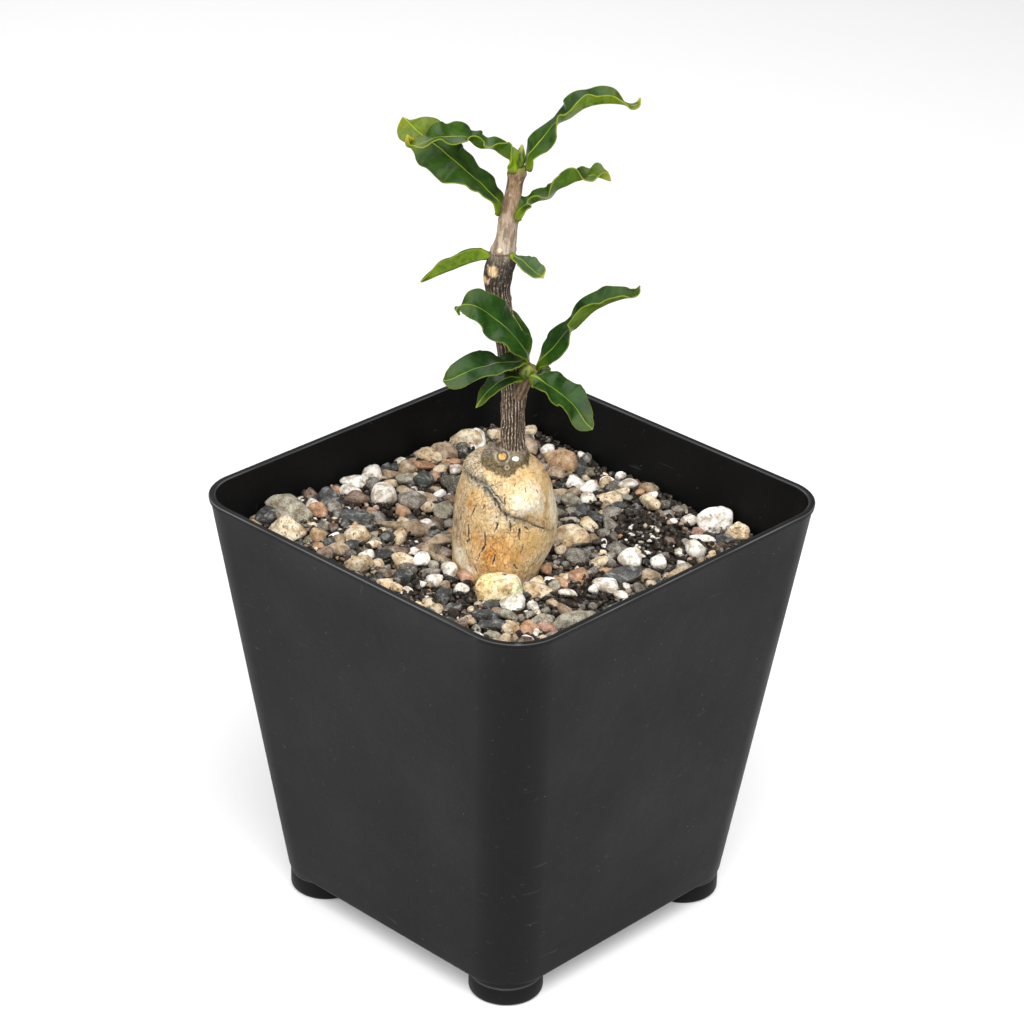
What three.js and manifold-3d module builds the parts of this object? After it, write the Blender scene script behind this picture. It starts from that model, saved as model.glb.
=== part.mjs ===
// Fockea crispa in a square nursery pot, in millimetres, +Z up.
// The origin is on the ground under the middle of the pot, and the pot's sides lie along X and Y.
// The plant, whose leaves spread mainly one way, is set out in a frame of its own that is turned
// about Z: there x runs along the spread of the leaves and y runs from the plant's front to its back.

import * as THREE from "three";
import { mergeVertices } from "three/addons/utils/BufferGeometryUtils.js";
import Module from "manifold-3d";

const wasm = await Module();
wasm.setup();

// Driving dimensions
const CLEARANCE = 0.35;
const PLANT_TURN = THREE.MathUtils.degToRad(44);

const POT_HEIGHT = 100;
const POT_TOP_HALF = 50;
const POT_FLOOR_HALF = 37.9;
const POT_TOP_CORNER = 11.3;
const POT_FLOOR_CORNER = 10.6;
const POT_WALL = 1.3;
const POT_CORNER_STEPS = 5;
const LIP_HEIGHT = 1.1;
const LIP_PROUD = 0.3;
const RIM_ROUND = 0.3;
const LOWER_EDGE_ROUND = 0.9;
const FOOT_HEIGHT = 5.4;
const FOOT_RADIUS = 8.2;
const FOOT_INSET = 0.9;
const FOOT_SIDES = 20;
const DRAIN_RADIUS = 3;
const DRAIN_SIDES = 12;
const DRAIN_OFFSET = 14;

const SOIL_LEVEL = 87.4;
const SOIL_FALL_X = 0.03;
const SOIL_FALL_Y = 0.04;
const PEBBLE_SPACING = 7.2;
const PEBBLE_SHIFT = 1.2;
const PEBBLE_FIELD = 45.5;
const PEBBLE_LENGTH = [7.4, 9.8];
const PEBBLE_FLATNESS = 0.7;
const PEBBLE_LIFT = 0.17;
const PEBBLE_ROUGHNESS = 0.13;
const STONE_ROUGHNESS = 0.09;
const LAYOUT_SEED = 7;
const PEBBLE_SEED = 11;
const STONE_SEED = 31;

const FOLD_LEVEL = 105.5;
const FOLD_DROP = 6.5;
const CAUDEX_STEPS = 16;
const CAUDEX_SIDES = 18;
const STEM_STEPS = 26;
const STEM_SIDES = 10;
const SHOOT_STEPS = 4;
const BUD_STEPS = 4;
const BUD_SIDES = 8;

const BLADE_THICKNESS = 0.6;
const RIB_THICKNESS = 0.35;
const PETIOLE_THICKNESS = 0.7;
const PETIOLE_SHARE = 0.12;
const LEAF_SCALLOP = 0.08;
const LEAF_COLUMNS = 6;

// Colours and finishes
const finish = (color, roughness) => new THREE.MeshStandardMaterial({ color, roughness, metalness: 0 });
const PLASTIC = finish(0x2b2b2d, 0.55);
const SOIL = finish(0x6b5f52, 0.95);
const CAUDEX_SKIN = finish(0xc9a878, 0.75);
const BARK = finish(0x8f8074, 0.85);
const LEAF_GREEN = finish(0x2f6b33, 0.35);
const BUD_GREEN = finish(0x9bb04a, 0.5);
const CREAM_STONE = finish(0xe6d9b8, 0.8);
const GREY_STONE = finish(0x8d8576, 0.85);
const BROWN_STONE = finish(0xa88b6a, 0.8);

// The plant's woody axis: x, y, z and radius at each place
const STEM = [
  [0, -9, 116.2, 3.7],
  [0, -9, 118.5, 3.0],
  [0, -9, 124, 2.9],
  [0, -9, 131, 3.0],
  [-1.3, -9, 139.5, 2.8],
  [-3, -9, 147, 2.75],
  [-4, -9, 152.5, 2.7],
  [-4, -9, 155.8, 3.1],
  [-3.3, -9, 158.5, 3.0],
  [-3, -9, 161, 2.8],
  [-2.4, -9, 164, 2.3],
  [-2, -9, 168, 2.15],
  [-1.2, -9, 173.5, 1.8],
  [-0.8, -9, 176.5, 1.7],
  [-0.5, -9, 178.5, 1.95],
  [-0.5, -9, 179.8, 1.9],
];
const SIDE_SHOOT = [
  [0.5, -10, 128.5, 1.5],
  [2, -11.5, 133, 1.75],
  [3, -12.8, 136.3, 1.85],
];
const APICAL_BUD = [
  [0, -9, 180.3, 0.85],
  [0.2, -9, 182.2, 0.9],
  [0.4, -9, 184.6, 0.3],
];
const SHOOT_BUD = [
  [3.1, -12.9, 136.9, 1],
  [3.2, -13, 137.6, 0.9],
  [3.4, -13.2, 138.6, 0.4],
];

// The swollen base, from its buried end to the crown that carries the stem
const CAUDEX = [
  [-2.6, -9.5, 74, 5.5],
  [-2.6, -9.5, 78, 7.8],
  [-2.6, -9.4, 83, 9.3],
  [-2.5, -9.3, 88, 10.1],
  [-2.1, -9.2, 93, 10.8],
  [-1.6, -9, 98, 11.1],
  [-1.6, -9, 103, 10.8],
  [-1.5, -9, 107, 10],
  [-1.3, -9, 110.3, 8.6],
  [-0.9, -9, 112.8, 6.9],
  [-0.5, -9, 114.6, 5.2],
  [0, -9, 115.8, 3.9],
];

// Leaves. Each rib row is x, y, z and half width, from the stem to the tip. right and left give how
// many degrees the two halves of the blade rise above the level, at even steps along the leaf, as
// seen looking out along it. lean widens the right half and narrows the left one.
const LEAVES = {
  leaf_a: {
    rib: [
      [-1.5, -10.5, 180.2, 0.8], [-2, -11.5, 182.5, 1.6], [-3.5, -12, 185, 2.8], [-7, -13, 187.5, 3.3],
      [-11, -14, 188.5, 3.5], [-14.5, -14.5, 188.5, 3.5], [-18.5, -15, 187.5, 3],
      [-21.5, -15.5, 187, 1.8], [-22.5, -16, 189, 0.4],
    ],
    right: [40, 20, 15, 20, 20, 10],
    left: [40, 20, -5, -5, -5, 0],
    wave: 1.0, waves: 3.1, phase: [60, -20], rows: 16,
  },
  leaf_b: {
    rib: [
      [1.8, -9.5, 179.8, 0.7], [2.7, -9.5, 182.5, 1.1], [3.8, -9.5, 185, 2], [5.5, -9.5, 187.5, 2.3],
      [7.5, -9.5, 189.5, 2.4], [10.5, -9.5, 191.5, 4.6], [14.5, -9.5, 193.5, 4.1],
      [18, -9.5, 194.5, 3.4], [20.5, -9.5, 194, 1.8], [23, -9.5, 193, 0.9],
      [24.5, -9.5, 194, 0.6], [24, -9.5, 195.5, 0.3],
    ],
    right: [-30, -50, -40, 10, 50, 60, 50, 20],
    left: [50, 50, 45, 45, 60, 65, 70, 60],
    wave: 0.3, waves: 3, phase: [0, 120], rows: 17,
  },
  leaf_c: {
    rib: [
      [-3.5, -8.5, 169, 0.8], [-4, -8, 171, 1.2], [-6, -7, 173.5, 2], [-9.5, -6, 176, 2.6],
      [-13.5, -4.5, 178.5, 3.5], [-18, -3, 182.5, 4.6], [-22, -2, 185, 4.2], [-24.5, -1, 186.5, 1.5],
    ],
    right: [55, 60, 60, 50],
    left: [-50, -50, -50, -60],
    lean: 0.06, wave: 0.7, waves: 3.2, phase: [90, 200], rows: 14,
  },
  leaf_d: {
    rib: [
      [-0.5, -10, 169, 0.9], [0.5, -11, 171.5, 2], [1.5, -11.5, 172.5, 2.6], [4.5, -12, 174.5, 3],
      [7, -12.5, 177, 3.3], [10.5, -13, 178.5, 3.4], [14, -13, 179.5, 3.1],
      [16.5, -13.5, 179.5, 2.3], [18.5, -13.5, 179, 0.4],
    ],
    right: [-30, -10, 10, 50, 50, 30, 0],
    left: [50, 50, 30, 20, 40, 55, 30],
    wave: 1.2, waves: 2.05, phase: [0, 183], rows: 15,
  },
  leaf_e: {
    rib: [
      [-5.5, -9, 160, 0.8], [-8, -9, 160, 2], [-11.5, -9.5, 159.5, 2.4], [-15.5, -10, 157.5, 2],
      [-20, -10, 154.5, 0.4],
    ],
    right: [-30, -55, -65, -60],
    left: [40, 70, 80, 80],
    wave: 0.3, waves: 1.5, phase: [0, 120], rows: 10,
  },
  leaf_f: {
    rib: [[-1.5, -11, 161, 0.8], [-0.5, -12, 160.5, 2], [2.5, -13, 158.5, 2.7], [5.5, -14, 157.5, 1.2]],
    right: [20, 10, 0],
    left: [60, 60, 50],
    wave: 0.4, waves: 1.5, phase: [0, 120], rows: 8,
  },
  leaf_g: {
    rib: [
      [1.2, -13.4, 137.6, 0.6], [0.9, -14.2, 140.7, 1.2], [0, -15, 144.5, 3.2], [-2.5, -15.5, 147, 4.2],
      [-5, -16, 149, 4.5], [-7.5, -16.5, 151.5, 4], [-10, -17, 153, 2.3],
      [-11.5, -17.5, 153, 1.4], [-12, -18, 151.5, 0.5],
    ],
    right: [60, 60, 60, 60, 40],
    left: [-55, -50, -55, -60, -50],
    lean: 0.05, wave: 0.8, waves: 2.6, phase: [200, 40], rows: 15,
  },
  leaf_h: {
    rib: [
      [5.2, -12.1, 135.9, 0.7], [6.2, -12.3, 138.1, 1.3], [7.2, -12.5, 140, 2.8], [9, -12.5, 142.5, 3.1],
      [11.5, -12.5, 145.5, 3.1], [14, -12.5, 148, 4.1], [16.5, -12.5, 150.5, 4.1],
      [20, -12.5, 152, 3.4], [23, -12.5, 153, 2.1], [25, -12.5, 154, 1], [25, -12.5, 155.5, 0.3],
    ],
    right: [-45, -50, -35, 50, 45, 25, 10],
    left: [55, 55, 45, 55, 60, 65, 60],
    wave: 0.3, waves: 3, phase: [0, 120], rows: 16,
  },
  leaf_i: {
    rib: [
      [1.2, -14.3, 135.2, 0.7], [-1, -16.3, 137.5, 1.2], [-3.5, -17.5, 138.3, 2.2], [-5.5, -18, 138.5, 3.1],
      [-8.5, -18.5, 138, 3.4], [-11, -19, 137, 3.3], [-13.5, -19.5, 136.5, 2.3],
      [-15, -20, 136, 0.6],
    ],
    right: [50, 60, 60, 50],
    left: [-50, -50, -55, -50],
    lean: 0.12, wave: 0.5, waves: 2.6, phase: [0, 90], rows: 12,
  },
  leaf_j: {
    rib: [
      [0.7, -13.1, 133, 0.7], [-1, -14.3, 134.1, 1.2], [-2.5, -15, 134.5, 2], [-4.5, -15.5, 133, 1.9],
      [-6.5, -15.5, 131, 1.4], [-8, -16, 128.5, 0.4],
    ],
    right: [60, 60, 60],
    left: [-50, -50, -50],
    wave: 0.3, waves: 1.5, phase: [0, 120], rows: 10,
  },
  leaf_k: {
    rib: [
      [3.4, -14.6, 134.6, 0.7], [4.6, -15.2, 134.8, 1.5], [6, -16, 134.4, 2.4], [8, -16.5, 133, 3],
      [10, -17.5, 132, 3.1], [12, -18, 130, 2.9], [14, -18.5, 128, 2.5], [16, -19.5, 125.5, 1],
    ],
    right: [-40, -50, -55, -55],
    left: [60, 60, 60, 60],
    lean: -0.18, wave: 0.6, waves: 2.6, phase: [0, 180], rows: 12,
  },
  leaf_l: {
    rib: [[4, -12, 134.3, 0.6], [5.5, -11, 135, 1.2], [7.5, -10, 135.5, 0.7]],
    right: [-40, -40],
    left: [50, 50],
    wave: 0, waves: 1, phase: [0, 0], rows: 6,
  },
  leaf_m: {
    rib: [
      [3, -10.8, 136, 0.7], [3.1, -8.4, 138.3, 1.3], [1.5, -5.5, 141, 1.9], [0, -4.5, 144, 1.7],
      [-2, -4, 147, 0.4],
    ],
    right: [60, 60, 60],
    left: [-50, -50, -50],
    wave: 0.2, waves: 1.5, phase: [0, 0], rows: 8,
  },
};

// The larger stones: place of the middle, length, width, height and turn in degrees
const STONES = {
  stone_front: { at: [14.2, -18.9, 89.2], size: [10.4, 6.6, 7.6], turn: 40, made: CREAM_STONE },
  stone_grey_left: { at: [-40.2, -28.7, 91.4], size: [9.4, 7, 6], turn: 35, made: GREY_STONE },
  stone_pale_left: { at: [-33.6, -35.6, 91.2], size: [8.2, 6.4, 5.4], turn: 50, made: CREAM_STONE },
  stone_pale_right: { at: [7.6, 11.4, 88.6], size: [7.6, 6, 5.8], turn: 75, made: CREAM_STONE },
  stone_speckled: { at: [33.8, -15.8, 88.4], size: [8.6, 4.6, 4], turn: 55, made: GREY_STONE },
  stone_brown_back: { at: [-20.4, 37.4, 88.2], size: [7, 5, 5], turn: 20, made: BROWN_STONE },
  stone_cream_right: { at: [21.9, 14.5, 87.6], size: [7.2, 5.4, 5.2], turn: 10, made: CREAM_STONE },
  stone_pale_wall: { at: [21.2, 42.2, 87.2], size: [7, 6, 7], turn: 60, made: CREAM_STONE },
};

// Pebbles big enough to know one by one: x, y, length, width and turn in degrees
const KNOWN_PEBBLES = [
  [-41.3, -35, 4.4, 4, 0], [-36.8, -23.1, 4.6, 3.6, 20], [-38.9, -17.3, 6, 4.8, 45],
  [-43.6, -7.5, 5, 4.2, 0], [-40.2, -10.9, 4.8, 4, 60], [-43.4, -1.7, 4.2, 3.6, 0],
  [-31.3, -8.2, 6, 5.4, 30], [-26.2, -6, 6.6, 5.2, 70], [-28.3, -20.8, 7, 4, 45],
  [-22.1, -14.9, 6.6, 3.2, 50], [-18.7, -1.9, 4.4, 5, 0], [-21.9, -25.7, 4.6, 4.2, 0],
  [-38.2, 9.3, 7, 3.6, 45], [-43, 15.6, 5.4, 4.6, 0], [-43.2, 26.6, 6, 4.8, 30],
  [-40.6, 31.4, 4.4, 5, 0], [-6.2, -25.4, 3.8, 3.4, 0], [1.6, -23.5, 3.8, 4.2, 30],
  [-3.1, -30.6, 4, 3.6, 0], [9.7, -29.9, 4.8, 4.4, 20], [12.2, 3.9, 4, 3.6, 0],
  [-27, 40.6, 4, 4.4, 0], [-7.2, 32.8, 4.8, 4.2, 10], [-0.5, 36, 4.8, 5, 0],
  [5.8, 37.6, 5.6, 4.4, 30], [28, 37.5, 5.4, 4.2, 40], [29.6, 43, 5, 4.4, 0],
  [28.2, 28.4, 4.8, 4.4, 0], [33.4, 32.4, 4.6, 3.8, 0], [27.2, 1.8, 4.8, 4.6, 0],
  [19.6, 0.5, 4.4, 5, 30], [30.6, 8.6, 7.2, 4.4, 60], [15.6, 6.4, 6.4, 3.6, 45],
  [28.5, -24.6, 4, 4, 0], [34.5, -21.6, 5.2, 3.2, 45], [21.7, -22.6, 5.2, 5, 20],
  [20.6, -13.4, 7, 3.8, 45], [24.1, -30.4, 5, 3.4, 40], [16.4, -28.1, 4.6, 4.2, 0],
];
// Bare patches of soil between the pebbles: x, y and radius
const BARE_PATCHES = [[15, 31, 5.5], [22, 23, 5], [6, -35, 4.5], [27, -8, 4]];
const BARE_SHARE = 0.75;

// A reproducible stream of numbers from 0 to 1
function randomStream(seed) {
  let state = seed >>> 0;
  return () => {
    state = (Math.imul(state, 1664525) + 1013904223) >>> 0;
    return state / 4294967296;
  };
}

// Catmull-Rom curve through rows of numbers, where share runs from 0 at the first row to 1 at the last
function curveAt(rows, share) {
  const first = rows[0].map((value, k) => 2 * value - rows[1][k]);
  const last = rows.at(-1).map((value, k) => 2 * value - rows.at(-2)[k]);
  const padded = [first, ...rows, last];
  const spans = rows.length - 1;
  const place = THREE.MathUtils.clamp(share, 0, 1) * spans;
  const span = Math.min(Math.floor(place), spans - 1);
  const t = place - span;
  const [a, b, c, d] = padded.slice(span, span + 4);
  return b.map((value, k) => 0.5 * (
    2 * value + (c[k] - a[k]) * t
    + (2 * a[k] - 5 * value + 4 * c[k] - d[k]) * t ** 2
    + (3 * value - a[k] - 3 * c[k] + d[k]) * t ** 3
  ));
}

const valueAt = (values, share) => curveAt(values.map((value) => [value]), share)[0];

// A geometry from a list of Vector3 corners and a list of triangles
function geometryFrom(corners, triangles) {
  const geometry = new THREE.BufferGeometry();
  const positions = new Float32Array(corners.flatMap((corner) => corner.toArray()));
  geometry.setAttribute("position", new THREE.BufferAttribute(positions, 3));
  geometry.setIndex(triangles.flat());
  return geometry;
}

// A closed skin over rings of equal length, in order, each ring anticlockwise seen against the way
// that the rings follow each other. Its ends are closed by fans round their middles.
function loft(rings) {
  const count = rings[0].length;
  const corners = rings.flat();
  const triangles = [];
  for (let r = 0; r + 1 < rings.length; r += 1) {
    for (let k = 0; k < count; k += 1) {
      const a = r * count + k;
      const b = r * count + ((k + 1) % count);
      triangles.push([a, b, b + count], [a, b + count, a + count]);
    }
  }
  const middleOf = (ring) => ring.reduce((sum, p) => sum.add(p), new THREE.Vector3()).divideScalar(count);
  const top = (rings.length - 1) * count;
  corners.push(middleOf(rings[0]), middleOf(rings.at(-1)));
  for (let k = 0; k < count; k += 1) {
    const next = (k + 1) % count;
    triangles.push([next, k, corners.length - 2], [top + k, top + next, corners.length - 1]);
  }
  return geometryFrom(corners, triangles);
}

// A closed sheet between an upper and a lower grid of corners, split into triangles alike on both
function slab(upper, lower) {
  const rows = upper.length;
  const columns = upper[0].length;
  const below = rows * columns;
  const corners = [...upper.flat(), ...lower.flat()];
  const at = (i, j) => i * columns + j;
  const triangles = [];
  for (let i = 0; i + 1 < rows; i += 1) {
    for (let j = 0; j + 1 < columns; j += 1) {
      const [a, b, c, d] = [at(i, j), at(i, j + 1), at(i + 1, j + 1), at(i + 1, j)];
      triangles.push([a, b, c], [a, c, d]);
      triangles.push([below + a, below + c, below + b], [below + a, below + d, below + c]);
    }
  }
  const run = (count, place) => Array.from({ length: count }, (_, k) => place(k));
  const edge = [
    ...run(columns - 1, (k) => at(0, k)),
    ...run(rows - 1, (k) => at(k, columns - 1)),
    ...run(columns - 1, (k) => at(rows - 1, columns - 1 - k)),
    ...run(rows - 1, (k) => at(rows - 1 - k, 0)),
  ];
  edge.forEach((a, k) => {
    const b = edge[(k + 1) % edge.length];
    triangles.push([a, below + a, below + b], [a, below + b, b]);
  });
  return geometryFrom(corners, triangles);
}

// Turns a closed geometry into a solid that can be joined and cut
function solidFrom(geometry) {
  const bare = geometry.index ? geometry : geometry.clone();
  for (const name of Object.keys(bare.attributes)) {
    if (name !== "position") bare.deleteAttribute(name);
  }
  const merged = mergeVertices(bare, 1e-5);
  return new wasm.Manifold(new wasm.Mesh({
    numProp: 3,
    vertProperties: Float32Array.from(merged.attributes.position.array),
    triVerts: Uint32Array.from(merged.index.array),
  }));
}

// The largest body of a solid, without the loose scraps that a cut can leave
function largestBody(solid) {
  return solid.decompose().reduce((best, body) => (body.volume() > best.volume() ? body : best));
}

function geometryOf(solid) {
  const { vertProperties, triVerts } = solid.getMesh();
  const geometry = new THREE.BufferGeometry();
  geometry.setAttribute("position", new THREE.BufferAttribute(vertProperties, 3));
  geometry.setIndex(new THREE.BufferAttribute(triVerts, 1));
  return geometry;
}

function mesh(name, geometry, material) {
  const piece = new THREE.Mesh(geometry, material.clone());
  piece.name = name;
  return piece;
}

// A level square ring with round corners
function squareRing(half, corner, z) {
  const ring = [];
  for (let quarter = 0; quarter < 4; quarter += 1) {
    const middle = new THREE.Vector2(half - corner, half - corner).rotateAround(
      new THREE.Vector2(), quarter * Math.PI / 2);
    for (let k = 0; k <= POT_CORNER_STEPS; k += 1) {
      const angle = (quarter + k / POT_CORNER_STEPS) * Math.PI / 2;
      const x = middle.x + corner * Math.cos(angle);
      const y = middle.y + corner * Math.sin(angle);
      ring.push(new THREE.Vector3(x, y, z));
    }
  }
  return ring;
}

// The pot's outer face at height z, moved inwards by inset
function potRing(z, inset) {
  const share = (z - FOOT_HEIGHT) / (POT_HEIGHT - FOOT_HEIGHT);
  const half = THREE.MathUtils.lerp(POT_FLOOR_HALF, POT_TOP_HALF - LIP_PROUD, share);
  const corner = THREE.MathUtils.lerp(POT_FLOOR_CORNER, POT_TOP_CORNER, share);
  return squareRing(half - inset, corner - inset, z);
}

function potSolid() {
  const lipFoot = POT_HEIGHT - LIP_HEIGHT;
  const floorTop = FOOT_HEIGHT + POT_WALL;
  const body = solidFrom(loft([
    potRing(FOOT_HEIGHT, LOWER_EDGE_ROUND),
    potRing(FOOT_HEIGHT + 0.3 * LOWER_EDGE_ROUND, 0.3 * LOWER_EDGE_ROUND),
    potRing(FOOT_HEIGHT + LOWER_EDGE_ROUND, 0),
    potRing(lipFoot - 0.2, 0),
    potRing(lipFoot, -LIP_PROUD),
    potRing(POT_HEIGHT - RIM_ROUND, -LIP_PROUD),
    potRing(POT_HEIGHT, RIM_ROUND - LIP_PROUD),
    potRing(POT_HEIGHT, POT_WALL - RIM_ROUND),
    potRing(POT_HEIGHT - RIM_ROUND, POT_WALL),
    potRing(floorTop + LOWER_EDGE_ROUND, POT_WALL),
    potRing(floorTop, POT_WALL + LOWER_EDGE_ROUND),
  ]));
  const footProfile = [
    [0, 0], [FOOT_RADIUS - 1.3, 0], [FOOT_RADIUS - 0.5, 0.3], [FOOT_RADIUS - 0.1, 1.1],
    [FOOT_RADIUS, 2.4], [FOOT_RADIUS, FOOT_HEIGHT + 0.6 * POT_WALL], [0, FOOT_HEIGHT + 0.6 * POT_WALL],
  ].map(([x, y]) => new THREE.Vector2(x, y));
  const foot = solidFrom(new THREE.LatheGeometry(footProfile, FOOT_SIDES).rotateX(Math.PI / 2));
  const drain = solidFrom(new THREE.CylinderGeometry(DRAIN_RADIUS, DRAIN_RADIUS, 4 * POT_WALL, DRAIN_SIDES)
    .rotateX(Math.PI / 2).translate(0, 0, FOOT_HEIGHT + POT_WALL / 2));
  const footAt = POT_FLOOR_HALF - FOOT_INSET - FOOT_RADIUS;
  let pot = body;
  for (const sx of [-1, 1]) {
    for (const sy of [-1, 1]) {
      pot = pot.add(foot.translate([sx * footAt, sy * footAt, 0]));
      pot = pot.subtract(drain.translate([sx * DRAIN_OFFSET, sy * DRAIN_OFFSET, 0]));
    }
  }
  return pot.subtract(drain);
}

const soilTop = (x, y) => SOIL_LEVEL - SOIL_FALL_X * x - SOIL_FALL_Y * y;

// A stone: a ball of flat faces, stretched to its size, whose corners stand out by differing amounts
function stoneGeometry(size, detail, roughness, random) {
  const geometry = new THREE.IcosahedronGeometry(0.5, detail);
  for (const name of ["normal", "uv"]) geometry.deleteAttribute(name);
  const merged = mergeVertices(geometry, 1e-4);
  const position = merged.attributes.position;
  for (let k = 0; k < position.count; k += 1) {
    const reach = 1 + roughness * (2 * random() - 1);
    position.setXYZ(k, ...[position.getX(k), position.getY(k), position.getZ(k)].map(
      (value, axis) => value * reach * size[axis]));
  }
  return merged;
}

function stoneSolid({ at, size, turn }, seed, extra) {
  const grown = size.map((value) => value + 2 * extra);
  const geometry = stoneGeometry(grown, 1, STONE_ROUGHNESS, randomStream(seed));
  geometry.rotateZ(THREE.MathUtils.degToRad(turn)).translate(...at);
  return solidFrom(geometry);
}

// Where the pebbles lie: the known ones, then a shifted grid that keeps clear of them, of the
// stones, of the caudex and of most of the bare patches
function pebbleRows() {
  const random = randomStream(LAYOUT_SEED);
  const [hillX, hillY, , hillRadius] = CAUDEX[3];
  const hill = new THREE.Vector2(hillX, hillY).rotateAround(new THREE.Vector2(), PLANT_TURN);
  const taken = [[hill.x, hill.y, hillRadius + 1]];
  for (const { at, size } of Object.values(STONES)) taken.push([at[0], at[1], 0.42 * size[0]]);
  const pebbles = KNOWN_PEBBLES.map((row) => [...row]);
  for (const [x, y, length, width] of pebbles) taken.push([x, y, 0.22 * (length + width)]);
  const steps = Math.floor(PEBBLE_FIELD / PEBBLE_SPACING);
  for (let i = -steps; i <= steps; i += 1) {
    for (let j = -steps - 1; j <= steps + 1; j += 1) {
      const x = (i + 0.5 * (Math.abs(j) % 2)) * PEBBLE_SPACING + PEBBLE_SHIFT * (2 * random() - 1);
      const y = 0.866 * j * PEBBLE_SPACING + PEBBLE_SHIFT * (2 * random() - 1);
      const length = THREE.MathUtils.lerp(...PEBBLE_LENGTH, random());
      const width = length * (0.7 + 0.25 * random());
      const turn = 180 * random();
      const bare = BARE_PATCHES.some(([bx, by, radius]) => Math.hypot(x - bx, y - by) < radius);
      const outside = Math.max(Math.abs(x), Math.abs(y)) > PEBBLE_FIELD;
      const blocked = taken.some(([tx, ty, radius]) => Math.hypot(x - tx, y - ty) < radius + 0.26 * length);
      if (outside || blocked || (bare && random() < BARE_SHARE)) continue;
      pebbles.push([x, y, length, width, turn]);
    }
  }
  return pebbles;
}

// Soil with the pebbles sunk into it to a third of their height, clear of the pot, caudex and stones
function soilSolid(cuts) {
  const random = randomStream(PEBBLE_SEED);
  const floor = FOOT_HEIGHT + POT_WALL + CLEARANCE;
  const inset = POT_WALL + CLEARANCE;
  const high = POT_HEIGHT - 1;
  const room = solidFrom(loft([
    potRing(floor, inset + LOWER_EDGE_ROUND),
    potRing(floor + LOWER_EDGE_ROUND, inset),
    potRing(high, inset),
  ]));
  const side = 2 * POT_TOP_HALF;
  const block = new THREE.BoxGeometry(side, side, side);
  const corners = block.attributes.position;
  for (let k = 0; k < corners.count; k += 1) {
    const top = soilTop(corners.getX(k), corners.getY(k));
    corners.setZ(k, corners.getZ(k) > 0 ? top : 0);
  }
  let soil = solidFrom(block);
  for (const [x, y, length, width, turn] of pebbleRows()) {
    const height = PEBBLE_FLATNESS * width;
    const geometry = stoneGeometry([length, width, height], 0, PEBBLE_ROUGHNESS, random);
    geometry.rotateZ(THREE.MathUtils.degToRad(turn)).translate(x, y, soilTop(x, y) + PEBBLE_LIFT * height);
    soil = soil.add(solidFrom(geometry));
  }
  soil = soil.intersect(room);
  for (const cut of cuts) soil = soil.subtract(cut);
  return largestBody(soil);
}

// A round limb along rows of x, y, z and radius, with its rings square to its course
function limb(rows, steps, sides, extra = 0, shape = () => 1) {
  const rings = [];
  const reference = new THREE.Vector3(1, 0, 0);
  for (let s = 0; s <= steps; s += 1) {
    const share = s / steps;
    const [x, y, z, radius] = curveAt(rows, share);
    const ahead = new THREE.Vector3(...curveAt(rows, share + 0.01));
    const behind = new THREE.Vector3(...curveAt(rows, share - 0.01));
    const course = ahead.sub(behind).normalize();
    const across = reference.clone().addScaledVector(course, -reference.dot(course)).normalize();
    const over = course.clone().cross(across);
    const middle = new THREE.Vector3(x, y, z);
    if (s === 0) middle.addScaledVector(course, -extra);
    if (s === steps) middle.addScaledVector(course, extra);
    rings.push(Array.from({ length: sides }, (_, k) => {
      const angle = 2 * Math.PI * k / sides;
      const reach = (radius * shape(angle, z) + extra);
      return middle.clone().addScaledVector(across, reach * Math.cos(angle))
        .addScaledVector(over, reach * Math.sin(angle));
    }));
  }
  return solidFrom(loft(rings));
}

// The caudex bulges over a fold that runs down from the upper left to the lower right of its front
function caudexShape(angle, z) {
  const front = Math.cos(angle + Math.PI / 2);
  const foldHeight = FOLD_LEVEL - FOLD_DROP * Math.cos(angle);
  const fold = Math.exp(-(((z - foldHeight) / 2.2) ** 2)) * Math.max(0, front) ** 0.5;
  const bulge = Math.exp(-(((z - foldHeight - 4.5) / 3.5) ** 2)) * Math.max(0, front);
  return 1 - 0.045 * fold + 0.03 * bulge + 0.02 * Math.cos(3 * angle + 0.08 * z);
}

const caudexSolid = (extra) => limb(CAUDEX, CAUDEX_STEPS, CAUDEX_SIDES, extra, caudexShape);

function stemSolid(extra) {
  return limb(STEM, STEM_STEPS, STEM_SIDES, extra).add(limb(SIDE_SHOOT, SHOOT_STEPS, STEM_SIDES, extra));
}

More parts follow.
